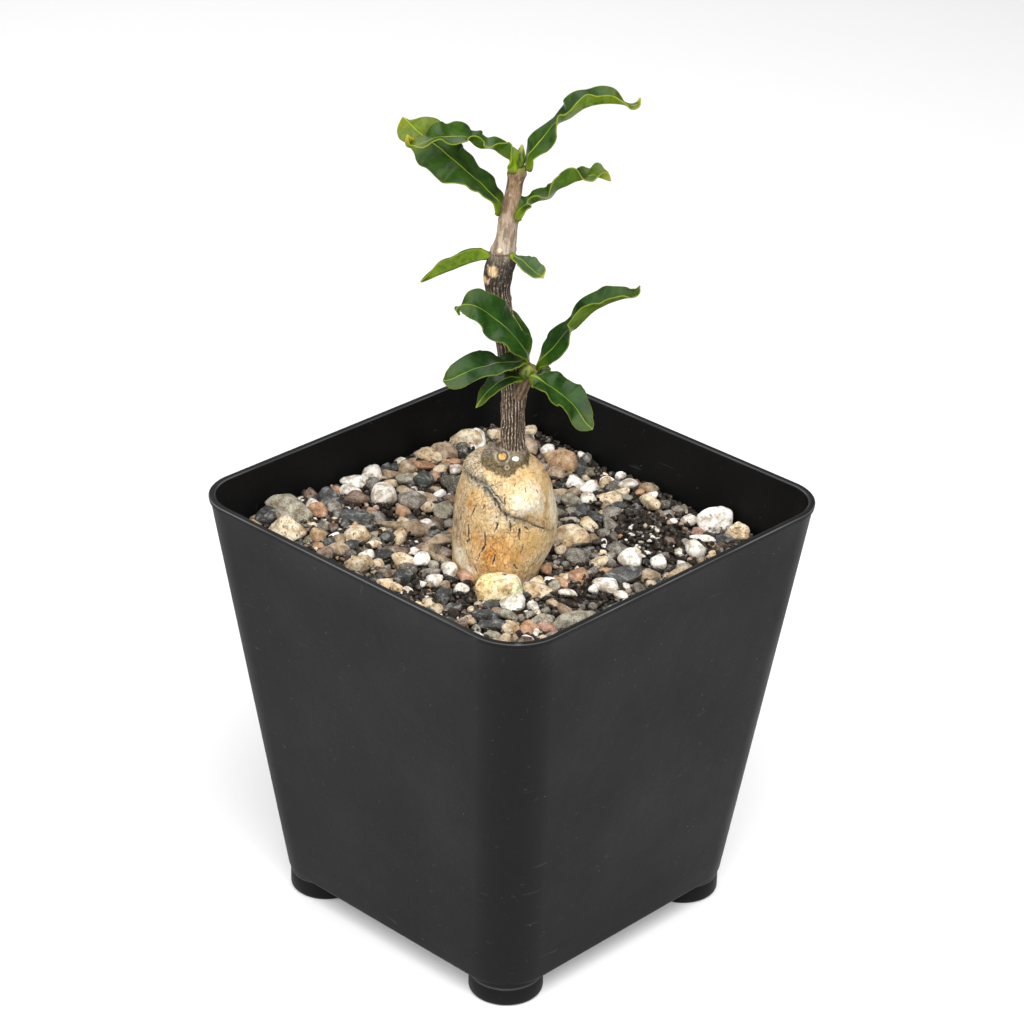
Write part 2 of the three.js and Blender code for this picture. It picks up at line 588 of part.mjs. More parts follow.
// A leaf blade: its two halves rise from the rib at their own angles and wave more towards the margin
function leafGeometry({ rib, right, left, lean = 0, wave, waves, phase, rows }) {
  const middles = [];
  for (let i = 0; i <= rows; i += 1) middles.push(curveAt(rib, i / rows));
  const points = middles.map(([x, y, z]) => new THREE.Vector3(x, y, z));
  const chord = points.at(-1).clone().sub(points[0]);
  const level = chord.cross(new THREE.Vector3(0, 0, 1)).normalize();
  const grid = points.map((middle, i) => {
    const share = i / rows;
    const before = points[Math.max(i - 1, 0)];
    const after = points[Math.min(i + 1, rows)];
    const course = after.clone().sub(before).normalize();
    const across = level.clone().addScaledVector(course, -level.dot(course)).normalize();
    const lift = across.clone().cross(course);
    const { clamp } = THREE.MathUtils;
    const fade = clamp(6 * (share - 0.04), 0, 1) * clamp(5 * (1 - share), 0, 1);
    const halfWidth = Math.max(middles[i][3], 0.3);
    return Array.from({ length: LEAF_COLUMNS + 1 }, (_, j) => {
      const place = 2 * j / LEAF_COLUMNS - 1;
      const side = place < 0 ? -1 : 1;
      const rise = THREE.MathUtils.degToRad(valueAt(side < 0 ? left : right, share));
      const turn = 2 * Math.PI * waves * share + THREE.MathUtils.degToRad(phase[side < 0 ? 1 : 0]);
      const scallop = 1 + LEAF_SCALLOP * fade * Math.cos(turn);
      const reach = halfWidth * (1 + side * lean) * scallop * Math.abs(place);
      const swing = wave * fade * Math.sin(turn) * place ** 2;
      return middle.clone()
        .addScaledVector(across, side * (reach * Math.cos(rise) - swing * Math.sin(rise)))
        .addScaledVector(lift, reach * Math.sin(rise) + swing * Math.cos(rise));
    });
  });
  const shifted = (way) => grid.map((row, i) => row.map((corner, j) => {
    const along = grid[Math.min(i + 1, rows)][j].clone().sub(grid[Math.max(i - 1, 0)][j]);
    const over = row[Math.min(j + 1, LEAF_COLUMNS)].clone().sub(row[Math.max(j - 1, 0)]);
    const normal = over.cross(along).normalize();
    const place = Math.abs(2 * j / LEAF_COLUMNS - 1);
    const petiole = PETIOLE_THICKNESS * Math.max(0, 1 - i / rows / PETIOLE_SHARE);
    const thickness = BLADE_THICKNESS + RIB_THICKNESS * (1 - place) ** 2 + petiole;
    return corner.clone().addScaledVector(normal, way * thickness / 2);
  }));
  return slab(shifted(1), shifted(-1));
}

function plantPieces() {
  const plant = new THREE.Group();
  const stemRoom = stemSolid(CLEARANCE);
  plant.add(mesh("caudex", geometryOf(caudexSolid(0).subtract(stemRoom)), CAUDEX_SKIN));
  plant.add(mesh("stem", geometryOf(stemSolid(0)), BARK));
  plant.add(mesh("apical_bud", geometryOf(limb(APICAL_BUD, BUD_STEPS, BUD_SIDES)), BUD_GREEN));
  plant.add(mesh("shoot_bud", geometryOf(limb(SHOOT_BUD, BUD_STEPS, BUD_SIDES)), BUD_GREEN));
  for (const [name, leaf] of Object.entries(LEAVES)) {
    const blade = solidFrom(leafGeometry(leaf)).subtract(stemRoom);
    plant.add(mesh(name, geometryOf(largestBody(blade)), LEAF_GREEN));
  }
  plant.rotation.z = PLANT_TURN;
  return plant;
}

function groundPieces() {
  const ground = new THREE.Group();
  const turn = THREE.MathUtils.radToDeg(PLANT_TURN);
  const cuts = [caudexSolid(CLEARANCE).rotate([0, 0, turn])];
  Object.entries(STONES).forEach(([name, stone], k) => {
    ground.add(mesh(name, geometryOf(stoneSolid(stone, STONE_SEED + k, 0)), stone.made));
    cuts.push(stoneSolid(stone, STONE_SEED + k, CLEARANCE));
  });
  ground.add(mesh("soil_mix", geometryOf(soilSolid(cuts)), SOIL));
  return ground;
}

const pottedPlant = new THREE.Group();
pottedPlant.add(mesh("pot", geometryOf(potSolid()), PLASTIC));
pottedPlant.add(groundPieces());
pottedPlant.add(plantPieces());

export default pottedPlant;
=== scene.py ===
import math

import bpy
import numpy as np
from mathutils import Matrix, Vector


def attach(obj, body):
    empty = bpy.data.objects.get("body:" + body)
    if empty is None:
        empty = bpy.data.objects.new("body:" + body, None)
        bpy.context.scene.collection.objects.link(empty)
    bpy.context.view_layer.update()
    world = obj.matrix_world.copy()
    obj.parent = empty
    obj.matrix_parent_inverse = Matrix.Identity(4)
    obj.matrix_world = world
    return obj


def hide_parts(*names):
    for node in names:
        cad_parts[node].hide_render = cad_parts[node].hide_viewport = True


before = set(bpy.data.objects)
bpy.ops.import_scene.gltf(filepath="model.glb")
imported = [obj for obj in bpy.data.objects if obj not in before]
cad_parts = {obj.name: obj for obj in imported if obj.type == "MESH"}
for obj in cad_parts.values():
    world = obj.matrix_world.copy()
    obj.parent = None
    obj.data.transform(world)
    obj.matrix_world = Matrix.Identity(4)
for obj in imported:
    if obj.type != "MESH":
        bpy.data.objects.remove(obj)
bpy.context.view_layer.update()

# A young Fockea crispa in a square nursery pot. Lengths are in millimetres, in the pot's frame or in the
# plant's frame, which is turned about the upright axis, and become metres when a mesh is made.
MM = 0.001
PLANT_TURN = math.radians(44)

# Camera: turn, rise and roll of the view, its distance from the target, and the lens
VIEW_TURN = math.radians(43.88)
VIEW_RISE = math.radians(27.2)
VIEW_ROLL = 0.0213
VIEW_DISTANCE = 754.4
VIEW_TARGET = (0, 0, 96)
LENS = 122
SENSOR = 36

# Pot
POT_HEIGHT = 100
POT_TOP_HALF = 50
POT_FLOOR_HALF = 37.9
POT_TOP_CORNER = 11.3
POT_FLOOR_CORNER = 10.6
POT_WALL = 1.3
LIP_PROUD = 0.3
CORNER_STEPS = 18
EDGE_RADIUS = 1.3
RIM_RADIUS = 0.5
FOOT_HEIGHT = 5.4
FOOT_RADIUS = 8.2
FOOT_INSET = 0.9
FOOT_AT = POT_FLOOR_HALF - FOOT_INSET - FOOT_RADIUS
FOOT_ROUNDING = 1.1
FOOT_GROOVE = 0.12
FOOT_SUNK = 0.9
FOOT_SIDES = 64

# Soil: its level in the middle, its fall for each mm along x and y, the gap that it leaves at the wall, the
# height where it meets the wall, how far peat lies below the gravel's level, and its rings
SOIL_LEVEL = 87.4
SOIL_FALL = (0.03, 0.04)
SOIL_GAP = 0.35
SOIL_EDGE = 88.5
PEAT_BELOW = 0.6
SOIL_RINGS = 110

# The plant's woody axis: x, y, z and radius at each place
STEM = [
    (-0.1, -9, 114.2, 2.45), (-0.1, -9, 117, 2.55), (-0.2, -9, 120, 2.55), (-0.25, -9, 125, 2.5),
    (-0.15, -9, 131, 2.66), (-1.45, -9, 139.5, 2.5), (-3.05, -9, 147, 2.42), (-3.95, -9, 152.5, 2.5),
    (-4, -9, 155.8, 2.95), (-3.3, -9, 158.5, 2.85), (-2.95, -9, 161, 2.6), (-2.4, -9, 164, 2.2),
    (-2, -9, 168, 2.05), (-1.2, -9, 173.5, 1.75), (-0.8, -9, 176.5, 1.65), (-0.5, -9, 178.5, 1.9),
    (-0.5, -9, 179.8, 1.85)]
SIDE_SHOOT = [(0.5, -10, 128.5, 1.5), (2, -11.5, 133, 1.75), (3, -12.8, 136.3, 1.85)]
APICAL_BUD = [(0, -9, 179.4, 0.9), (0.2, -9, 182.2, 0.95), (0.4, -9, 184.6, 0.25)]
SHOOT_BUD = [
    (2.2, -13.2, 134.8, 1.15), (2.35, -13.4, 135.7, 1.5), (2.6, -13.5, 136.6, 1.35),
    (2.8, -13.5, 137.3, 0.35)]
CAUDEX = [
    (-2.6, -9.5, 74, 5.5), (-2.6, -9.5, 78, 7.8), (-2.6, -9.4, 83, 9.3), (-2.5, -9.3, 88, 10.1),
    (-2.1, -9.2, 93, 10.8), (-1.6, -9, 98, 11.1), (-1.6, -9, 103, 10.8), (-1.5, -9, 107, 10),
    (-1.3, -9, 110.3, 8.6), (-0.9, -9, 112.8, 6.9), (-0.5, -9, 114.3, 5.05), (-0.2, -9, 115.3, 3.65),
    (-0.2, -9, 115.9, 2.85), (-0.2, -9, 116.5, 2.4)]
# The caudex's row at the soil's level
CAUDEX_SOIL_ROW = 3
# Rings and points round each: caudex, stem, side shoot and buds
CAUDEX_GRID = (300, 300)
STEM_GRID = (440, 182)
SHOOT_GRID = (80, 78)
BUD_GRID = (40, 32)
# The stem: heights of its leaf rings, heights between which old bark ends, and scars as x, y, z and radius
STEM_RINGS = (150.5, 161.6, 168.2, 178.3)
OLD_BARK_ENDS = (156, 161.5)
TAN_SCARS = [
    (-5.0, -11.3, 157.4, 1.5), (-6.3, -10.2, 155.2, 1.1), (-5.6, -11, 155.8, 0.6), (-3.8, -11.6, 162.3, 0.5)]
# The caudex's skin is unrolled from a cylinder of this radius, on which a degree is this long
SKIN_RADIUS = 11
MM_PER_DEGREE = 0.192
# Lines on its skin, as places on the unrolled skin: angle in degrees from the plant's right, and height.
# The front faces -90. The fold runs down from the left shoulder and frays out to the right.
FOLD = [
    (-172, 111.2), (-154, 111), (-128, 110.8), (-116, 109.7), (-106.6, 108.7), (-100, 107.8), (-94.4, 106.2),
    (-88.3, 105.4), (-81.5, 104.75), (-71.4, 104.15), (-63, 103.2), (-52, 102), (-40, 100.3), (-28, 99.2)]
# Shares along the fold, and its half width, its darkness and that of the grey seam round it there
FOLD_WIDTH = ([0, 0.1, 0.2, 0.5, 0.62, 1], [0.44, 0.44, 0.55, 0.48, 0.24, 0.12])
FOLD_STRENGTH = ([0, 0.05, 0.15, 0.5, 0.62, 1], [0.9, 1, 1, 0.9, 0.45, 0.25])
SEAM_STRENGTH = ([0, 0.08, 0.2, 0.55, 0.7, 1], [0.5, 0.9, 1, 1, 0.7, 0.3])
# Cracks: half width in mm, then the places along each one
CRACKS = [
    (0.24, (-134.6, 101.4), (-134, 99.4), (-133, 97.6)), (0.36, (-135.4, 97.5), (-134.3, 97.3)),
    (0.14, (-134, 95.6), (-135, 94.3)), (0.19, (-127, 106.3), (-129.5, 105), (-131, 104)),
    (0.13, (-113.6, 107), (-117, 105.9)), (0.24, (-112.6, 101), (-111.2, 98.1), (-110, 97.7)),
    (0.22, (-111, 97.7), (-115, 96.1)), (0.12, (-115, 96.1), (-119.5, 93.3)),
    (0.23, (-98.9, 103.5), (-97.3, 102.9), (-100.9, 101.2)), (0.12, (-99.6, 104.8), (-100.8, 104.2)),
    (0.2, (-88.4, 105.2), (-86.8, 103.8)), (0.19, (-84, 103.8), (-82.6, 101.7)),
    (0.22, (-72.5, 102), (-73.6, 99.4)), (0.12, (-67.5, 98.5), (-70, 96.2)),
    (0.17, (-98.7, 95.9), (-98.5, 94.5), (-100, 93.4)), (0.24, (-90, 107.8), (-89, 107.7)),
    (0.12, (-93, 109.5), (-89.5, 107.8)), (0.1, (-63, 110.5), (-63, 109.8)),
    (0.1, (-46, 109.5), (-45, 108.8)), (0.1, (-78, 111.3), (-80, 110.7)),
    (0.14, (-112.4, 111), (-111.6, 111)), (0.22, (-147.5, 94), (-146.5, 94)),
    (0.14, (-123, 92.6), (-118, 90.8)), (0.16, (-46, 93.5), (-50, 92)), (0.14, (-40, 93.5), (-44, 92.3)),
    (0.14, (-75, 93.7), (-72, 92.6), (-70, 92.3)), (0.14, (-103, 108.5), (-95, 106.1)),
    (0.19, (20, 104), (18, 101)), (0.17, (62, 99), (64, 96.4), (62, 94.8)), (0.19, (108, 106), (106, 103.6)),
    (0.17, (140, 98), (143, 95.4)), (0.16, (85, 108), (86, 106.4)), (0.14, (160, 104.6), (163, 103)),
    (0.16, (-8, 97), (-10, 95)), (0.2, (-172, 110.9), (-166, 110.2)), (0.18, (-168, 111.3), (-174, 109.8)),
    (0.16, (-104, 108.4), (-102, 106.8)), (0.13, (-114, 110.6), (-98, 108.7), (-90, 107.4)),
    (0.14, (-58, 102.6), (-50, 101.5), (-41, 100.5)), (0.15, (-67, 102.6), (-62, 101.2)),
    (0.15, (-31, 95.2), (-23, 95.1))]
# Areas of its skin: angle, height, half width and half height in mm, strength. Two yellow ovals and one cream
# oval on the lower right are painted light.
AREAS = {
    "lace": [
        (-165, 113.4, 5.5, 2.4, 1.2), (-140, 112.2, 3.6, 1.7, 0.9), (-118, 110.4, 3.4, 1.9, 0.8),
        (-100, 111, 2.6, 1.3, 0.7), (-134, 103.5, 2.4, 3.4, 0.5), (150, 113.5, 6, 2.4, 1),
        (110, 112, 6, 2.4, 0.7)],
    "grey": [
        (-154, 101, 3, 9, 0.8), (-174, 98, 4, 9, 0.8), (-14, 96, 2.4, 5, 0.25), (-48, 98.4, 3, 2.4, 0.35),
        (-50, 87.5, 5, 3.2, 0.9), (30, 96, 8, 10, 0.6), (150, 95, 9, 10, 0.7), (-100, 86, 30, 2.6, 0.8)],
    "orange": [
        (-96, 96.4, 6.2, 5.2, 1.0), (-72, 97.4, 4.6, 4, 0.7), (-120, 97.6, 4, 4.6, 0.6),
        (-134.6, 104.6, 0.8, 3.4, 0.9), (-76, 99.6, 2, 1.2, 0.8), (75, 99, 7, 6, 0.5)],
    "rust": [
        (-106, 95.8, 2.0, 2.4, 0.8), (-112, 98, 1.5, 2.2, 0.5), (-99, 97.2, 2.6, 1, 0.5),
        (-134.6, 106.2, 0.5, 1.4, 0.7), (-94, 99, 2.4, 0.8, 0.4), (-62, 99.8, 3, 0.9, 0.35),
        (-114, 101, 2.5, 0.9, 0.35), (80, 97, 3, 2, 0.6)],
    "yellow": [
        # The second and third ovals here are painted light on the right side, where the skin leans inwards
        # and is shaded.
        (-54, 112, 3, 1.7, 1), (-57, 98.6, 4, 3.2, 0.95), (-38, 92.5, 3, 2.5, 0.5),
        (-28, 109.4, 3.2, 2.4, 0.8), (-88, 110.7, 3, 1.2, 0.5), (-44, 109, 1.6, 4, 0.5),
        (-97, 108.4, 2, 1.4, 0.5), (-93, 106.8, 0.9, 0.9, 0.8), (-120, 103, 3, 2.6, 0.45),
        (40, 109, 7, 4, 0.5)],
    "cream": [
        (-61, 108.3, 5, 3.5, 1.1), (-50, 105.6, 3.4, 2.2, 0.7), (-84, 109.4, 3, 1.6, 0.35),
        (-146, 92.8, 3, 2.5, 1.3), (-133, 90.8, 2.4, 1.4, 1), (-106, 104.2, 3.6, 1.6, 0.5),
        (-84, 104.2, 2.6, 1, 0.5), (-20, 103, 2.6, 4.4, 0.95), (-5, 104.5, 2.4, 4, 1.2),
        # The last oval, low on the right, is painted light where the skin leans inwards and is shaded.
        (-14, 97, 2, 4, 0.9), (-28, 92.6, 3, 3, 1)],
}
# The lower edge of the olive crown: angle, height
OLIVE_EDGE = [
    (-180, 115.6), (-165, 115), (-152, 114.2), (-138.5, 113.75), (-123.5, 113.45), (-107, 113),
    (-94, 112.45), (-79.5, 112.9), (-75.5, 113.7), (-61, 113.7), (-45.5, 113.45), (-35.5, 113.6),
    (-25.5, 113.9), (-10, 114.6), (30, 115.2), (180, 115.6)]
# Marks on the crown: angle in degrees, height, radius and which mark it is
CROWN_MARKS = [(-123, 115.2, 0.95, "scar"), (-78, 115.2, 0.62, "pale"), (-97.5, 113.9, 0.46, "ring")]
# Factors on the distance from a mark's middle along x, y and z: less than 1 makes the mark longer that way
MARK_SQUEEZE = {"scar": (0.95, 0.72, 0.85), "pale": (0.68, 0.9, 1.05), "ring": (1, 0.9, 1.05)}

# Leaves. Each row is a place on the rib, x, y and z, and then how far out and up from it the right and the
# left margin lie; the rows stand at even steps from the stem to the tip.
LEAVES = {
    "leaf_a": [
        (-1.1, -10.3, 179.2, 0.3, 1.1, -0.1, -1.2), (-1.2, -10.4, 180.6, 1.2, 1, 0.2, -1.3),
        (-1.7, -10.5, 182, 0.8, 2.2, 1.7, -0.7), (-2.9, -10.6, 182.7, 2.3, 1.9, 1, 2.5),
        (-4.1, -10.6, 183.5, 2.5, 2.2, 0.6, 2.9), (-5.1, -10.7, 184.3, 3.4, 1.6, 1.8, 1.9),
        (-6.5, -10.8, 184.6, 4, 0.6, 3, 1.1), (-7.9, -10.9, 184.6, 3.7, 1.9, 2.5, 1.9),
        (-9.1, -11, 185.3, 3.3, 2.5, 2.5, 1.9), (-10.1, -11.1, 186.3, 4.1, 1, 2.7, 1.8),
        (-11.4, -11.2, 186.8, 3.6, 2, 3.2, 0.7), (-12.7, -11.7, 187, 3.4, 2.1, 3.2, 0.1),
        (-14, -12.1, 187.1, 3.5, 1.6, 3.1, -0.4), (-15.3, -12.6, 187.2, 2.4, 2.6, 3, -0.2),
        (-16.6, -13, 187.2, 2.3, 2.4, 2.7, 0.8), (-17.9, -13.5, 186.9, 3.3, 0.2, 2.5, 0.8),
        (-19.2, -13.9, 186.4, 2.9, 0.4, 2.3, 0.4), (-20.5, -14.3, 186, 2.4, 0.6, 2, 0.3),
        (-21.8, -14.9, 185.9, 1.1, 1.5, 1.3, 0.8), (-22.8, -15.4, 186.5, 0.7, 1.9, 0.7, 0.7),
        (-22.9, -15.8, 187.9, 0.1, 1.6, 0.5, 0.4), (-22.5, -16.2, 189.1, 0, 0, 0, 0)],
    "leaf_b": [
        (2, -9.3, 179.3, 0.3, -0.6, 0.8, 0.6), (2.1, -9.3, 181, 1.2, -0.6, 1.6, 0.8),
        (2.1, -9.3, 182.5, 1.9, -0.7, 2.4, 0.7), (3, -9.4, 183.9, 2.2, -1, 2.6, 1.8),
        (4, -9.4, 185.3, 2, -1.9, 3.2, 1.7), (5, -9.4, 186.6, 2.2, -2, 3.8, 1.1),
        (6, -9.4, 188, 2.7, -1.6, 4.1, 0.5), (7, -9.4, 189.3, 3.3, -0.4, 4.4, 0.1),
        (8.5, -9.4, 190.2, 2.5, 2, 4.4, 1), (9.9, -9.5, 190.9, 2.6, 1.9, 3.6, 2.4),
        (11.3, -9.5, 192, 2.5, 1.9, 2.4, 3.3), (12.6, -9.5, 193, 1.8, 2.3, 2.4, 3.2),
        (14.1, -9.5, 193.7, 0.5, 2.6, 2.9, 2.4), (15.7, -9.6, 194.1, 1.3, 2.1, 2.4, 2.8),
        (17.4, -9.6, 194.3, 1.1, 2, 2.4, 2.7), (19, -9.6, 194.3, 1.1, 1.7, 1.9, 2.2),
        (20.7, -9.7, 194.2, 1.5, 0.8, 2.3, -0.2), (22.3, -9.7, 193.6, 1.4, 0, 1.8, -0.1),
        (23.8, -9.8, 194.1, 0.8, -0.2, 1, 0.4), (24, -9.8, 195.7, 0, 0, 0, 0)],
    "leaf_c": [
        (-4.1, -8.6, 169.1, 1, 0.3, 0.9, -0.2), (-4, -8.5, 170.6, 1.9, -0.3, 1.9, 0),
        (-4.6, -8.3, 172, 2.8, 0.6, 2.7, 0.6), (-5.7, -8.1, 173.1, 3.5, 0.4, 3.3, 0.9),
        (-6.8, -8, 174.2, 3.9, 1.1, 3.8, 0.8), (-7.9, -7.9, 175.4, 4.3, 0.7, 4.1, 0.8),
        (-9.1, -7.9, 176.4, 4.6, 0.2, 4.4, 0.2), (-10.2, -7.8, 177.3, 4.7, 0.5, 4.6, 0.3),
        (-11.4, -7.7, 178.4, 4.6, 1.1, 4.4, -1), (-12.6, -7.6, 179.5, 4.6, 1, 3.8, -3.3),
        (-13.8, -7.5, 180.5, 4.4, 1.4, 3.9, -3.4), (-15, -6.9, 181.3, 3.7, 2.3, 3.7, -3.3),
        (-16.1, -6.2, 182.1, 3.1, 2.6, 3.9, -3.5), (-17.3, -5.4, 182.7, 3, 2.7, 4, -3.6),
        (-18.5, -4.7, 183.3, 3.5, 3.2, 3.5, -3.2), (-19.8, -4.2, 184.1, 3.7, 3.3, 2.7, -2.5),
        (-21, -3.4, 184.8, 3.4, 3, 2.6, -2.3), (-22.1, -2.7, 185.6, 2.5, 2.2, 2.8, -2.5),
        (-23.2, -1.9, 186.4, 1.1, 0.2, 2, -1.8), (-24.2, -1, 187.1, 0, 0, 0, 0)],
    "leaf_d": [
        (-0.1, -11.2, 169, 0.6, -0.3, 0.8, 0.5), (0.1, -11.2, 170.1, 1.4, -0.6, 1.3, 0.9),
        (0.5, -11.1, 171.1, 1.8, -0.7, 1.6, 1.4), (1.2, -10.9, 171.95, 2.2, -0.3, 1.3, 2.2),
        (2.2, -10.5, 172.3, 2.4, 0.7, 2.6, 0.9), (3.2, -10.6, 172.9, 2.1, 1.7, 2.5, 1.5),
        (4.2, -10.7, 173.4, 2.2, 1.8, 2.9, 1.4), (5.2, -10.8, 173.6, 2.7, 1.4, 3.1, 1.3),
        (6.3, -10.9, 174, 2.7, 1.2, 3, 1.5), (7, -11, 174.9, 2.8, 0.8, 2.8, 1.6),
        (7.6, -11.1, 175.8, 2.6, 1.3, 3.2, 0.7), (8.5, -11.3, 176.5, 1.4, 2.4, 3.2, 0.4),
        (9.5, -11.5, 177, 0.2, 2.7, 3, 0.7), (10.4, -11.7, 177.6, -0.2, 2.9, 2.8, 0.9),
        (11.4, -11.9, 178.2, -0.3, 2.9, 2.5, 1.3), (12.4, -12.1, 178.6, 0, 2.2, 1.5, 2),
        (13.4, -12.3, 179, 1.8, 1, 1.5, 2.1), (14.4, -12.6, 179.5, 1.8, -0.3, 1.6, 1.1),
        (15.5, -12.8, 179.7, 1.5, -0.4, 1.9, 2.2), (16.6, -13, 179.5, 0.3, 1, 1.4, 1.5),
        (17.7, -13.3, 179.3, -0.3, 1.2, 1, 1), (18.7, -13.5, 179, 0, 0, 0, 0)],
    "leaf_e": [
        (-5.4, -9, 160.2, 0.7, 0.2, -0.1, 0.6), (-6.6, -9.1, 159.6, 1.4, 1.6, -0.4, 1.7),
        (-7.9, -9.1, 159.2, 1.7, 1.9, -0.5, 2.1), (-9.3, -9.1, 158.8, 1.9, 2.1, -0.5, 2.4),
        (-10.6, -9.2, 158.3, 2, 2.1, -0.5, 2.4), (-11.9, -9.3, 157.8, 2.5, 1.6, -0.2, 2.5),
        (-13.2, -9.4, 157.2, 2.3, 1.6, 0.2, 2.4), (-14.5, -9.5, 156.7, 1.7, 2, -0.5, 2.3),
        (-15.8, -9.7, 156.2, 1.5, 1.7, -0.4, 2), (-17.1, -9.8, 155.6, 1.3, 1, -0.2, 1.4),
        (-18.4, -10, 155, 0.9, 0.7, 0.5, 0.9), (-19.4, -10.1, 154.6, 0.6, 0.2, 0.5, 0.5),
        (-20, -10.2, 154.4, 0, 0, 0, 0)],
    "leaf_f": [
        (-1.5, -11.2, 161.4, 0.5, -0.2, 0.7, 0.1), (-0.8, -11.3, 160.9, 1.3, 0.2, 1.8, -0.4),
        (-0.2, -11.5, 160.6, 1.8, 0.2, 2.5, -0.7), (0.6, -11.6, 160.3, 2.2, -0.1, 2.9, -0.6),
        (1.2, -11.8, 159.9, 2.3, 0, 3.2, 0.1), (1.8, -12, 159.3, 2.3, 0, 3.1, 0.6),
        (2.4, -12.1, 158.8, 2.2, 0, 2.7, 1.4), (3, -12.3, 158.4, 2, -0.1, 2.4, 1.2),
        (3.6, -12.7, 158, 1.7, -0.2, 1.8, 1.6), (4.3, -13, 157.7, 1.3, -0.3, 1.7, 1.6),
        (4.9, -13.4, 157.5, 0.7, -0.1, 1.1, 1.1), (5.4, -14, 157.5, 0, 0, 0, 0)],
    "leaf_g": [
        (2.2, -13.7, 138.3, 1, 0.4, 0.5, -0.4), (2.2, -14.4, 139.7, 2, 2, 1.6, -0.4),
        (1.9, -15.2, 141.2, 2.4, 2.9, 2, -0.6), (1.3, -15.9, 142.5, 2.4, 2.7, 2.3, -1.4),
        (0.5, -16.2, 143.73, 2.7, 2.3, 2.9, -2.2), (-0.3, -16.3, 144.83, 3.4, 2.1, 3.5, -2.5),
        (-1.3, -16.5, 146.03, 3.6, 2.5, 3.2, -2.2), (-2.2, -16.6, 147.13, 3.6, 2.8, 2.4, -3.1),
        (-3.2, -16.7, 148.13, 3.2, 3.4, 1.8, -3.7), (-4.3, -16.9, 149.13, 2.2, 4.1, 1.7, -3.7),
        (-5.4, -17, 150.03, 1.8, 4.1, 2.2, -3.2), (-6.4, -17.3, 150.93, 1.7, 3.9, 2.6, -2.5),
        (-7.6, -17.6, 151.83, 1.8, 3.5, 2.3, -2.2), (-8.7, -17.8, 152.48, 2, 3.4, 1.5, -2.4),
        (-9.9, -18, 152.82, 1.8, 2.2, 1.6, -2.1), (-11.2, -18.2, 152.67, 1.8, -0.9, 1.6, -1.6),
        (-12.2, -18.6, 152.01, 1.3, 0, 0.9, -0.6), (-11.6, -18.8, 150.71, 0, 0, 0, 0)],
    "leaf_h": [
        (4.7, -12, 135.5, 0.2, -0.5, 0.9, 0.2), (5.1, -12, 137, 1.4, -0.3, 1.6, 0.2),
        (5.9, -12.1, 138.4, 1.8, -1.3, 2.3, 0.7), (6.9, -12.1, 139.6, 2.3, -1.4, 2.6, 1.6),
        (8, -12.2, 140.8, 2.5, -1.6, 2.7, 2), (8.9, -12.2, 142.1, 2.8, -1.6, 2.9, 2.3),
        (9.8, -12.2, 143.4, 3.1, -1.4, 3.5, 1.7), (10.8, -12.3, 144.7, 3.5, -0.6, 3.9, 0.9),
        (12.2, -12.3, 145.5, 2.9, 2.1, 3.8, 1.5), (13.2, -12.4, 146.6, 2.3, 2.5, 3.4, 2.1),
        (14.3, -12.4, 147.9, 2, 2.7, 2.9, 2.7), (15.4, -12.4, 149.1, 1.8, 2.7, 2, 3.1),
        (16.5, -12.5, 150.1, 2, 2.3, 2, 2.9), (17.9, -12.5, 150.9, 2.4, 1.7, 2.1, 2.8),
        (19.3, -12.6, 151.7, 2, 1.6, 2.3, 2.9), (20.8, -12.6, 152.3, 1.8, 1.4, 1.9, 2.4),
        (22.3, -12.6, 152.8, 1.5, 1.1, 1.6, 1.9), (23.8, -12.7, 153.2, 1.4, 0.3, 1.1, 1.4),
        (25, -12.8, 154.3, 0.8, -0.3, 0.4, 0.9), (25.3, -12.8, 155.8, 0, 0, 0, 0)],
    "leaf_i": [
        (2.7, -14.2, 138.6, 1, -0.1, 0.8, 0), (1.4, -14.5, 138.5, 2, 0, 1.5, 0.6),
        (0.2, -14.9, 138.5, 2.9, 0.5, 2.4, 0.2), (-1, -15.1, 138.6, 3.5, 0.7, 2.9, -0.2),
        (-2.3, -15.4, 138.6, 3.9, -0.3, 3.2, -0.2), (-3.5, -15.6, 138.6, 4.2, -0.2, 3.3, -0.7),
        (-4.7, -15.8, 138.4, 4.1, 1.3, 3.4, -0.8), (-5.9, -16.2, 138.1, 3.5, 2.3, 3.4, -0.5),
        (-7.1, -16.6, 138, 3.1, 2.5, 3.2, -0.5), (-8.2, -17.1, 137.9, 2.7, 2.6, 3, -0.7),
        (-9.4, -17.6, 137.6, 2.5, 2.5, 2.7, -1), (-10.5, -18.1, 137.3, 2.4, 2.3, 1.8, -1.7),
        (-11.6, -18.5, 136.9, 2.2, 2.1, 1.9, -1.8), (-12.7, -19, 136.5, 1.8, 1.8, 1.7, -1.7),
        (-13.9, -19.5, 136.3, 1.2, 1.3, 1.2, -1.3), (-15, -20, 136.4, 0, 0, 0, 0)],
    "leaf_j": [
        (1.7, -13.3, 133.9, 0.6, 0.7, 0.4, -0.2), (0.5, -13.6, 134.3, 1.7, 0.5, 1.2, -0.2),
        (-0.7, -13.8, 134.6, 2.4, 0.4, 1.7, -0.4), (-1.9, -14.2, 134.4, 2.8, 0.3, 2, -0.4),
        (-3, -14.5, 133.9, 3, 0.2, 2.1, -0.4), (-4, -14.8, 133.2, 2.8, 1, 2, -0.3),
        (-4.9, -15.1, 132.4, 2.6, 0.6, 1.9, -0.3), (-5.8, -15.4, 131.6, 2.2, 0.7, 1.6, -0.3),
        (-6.6, -15.7, 130.6, 1.7, 0.6, 1.2, -0.4), (-7.3, -15.9, 129.6, 1.1, 0.1, 0.6, -0.5),
        (-8, -16.2, 128.6, 0, 0, 0, 0)],
    "leaf_k": [
        (3, -14.4, 134.9, 0.8, -1, 0.9, 0), (3.9, -14.5, 135.2, 1.5, -1.7, 1.7, -0.7),
        (4.9, -14.7, 134.9, 1.6, -1.5, 2.6, -0.6), (5.7, -14.9, 134.3, 2.5, -0.5, 3, 1.1),
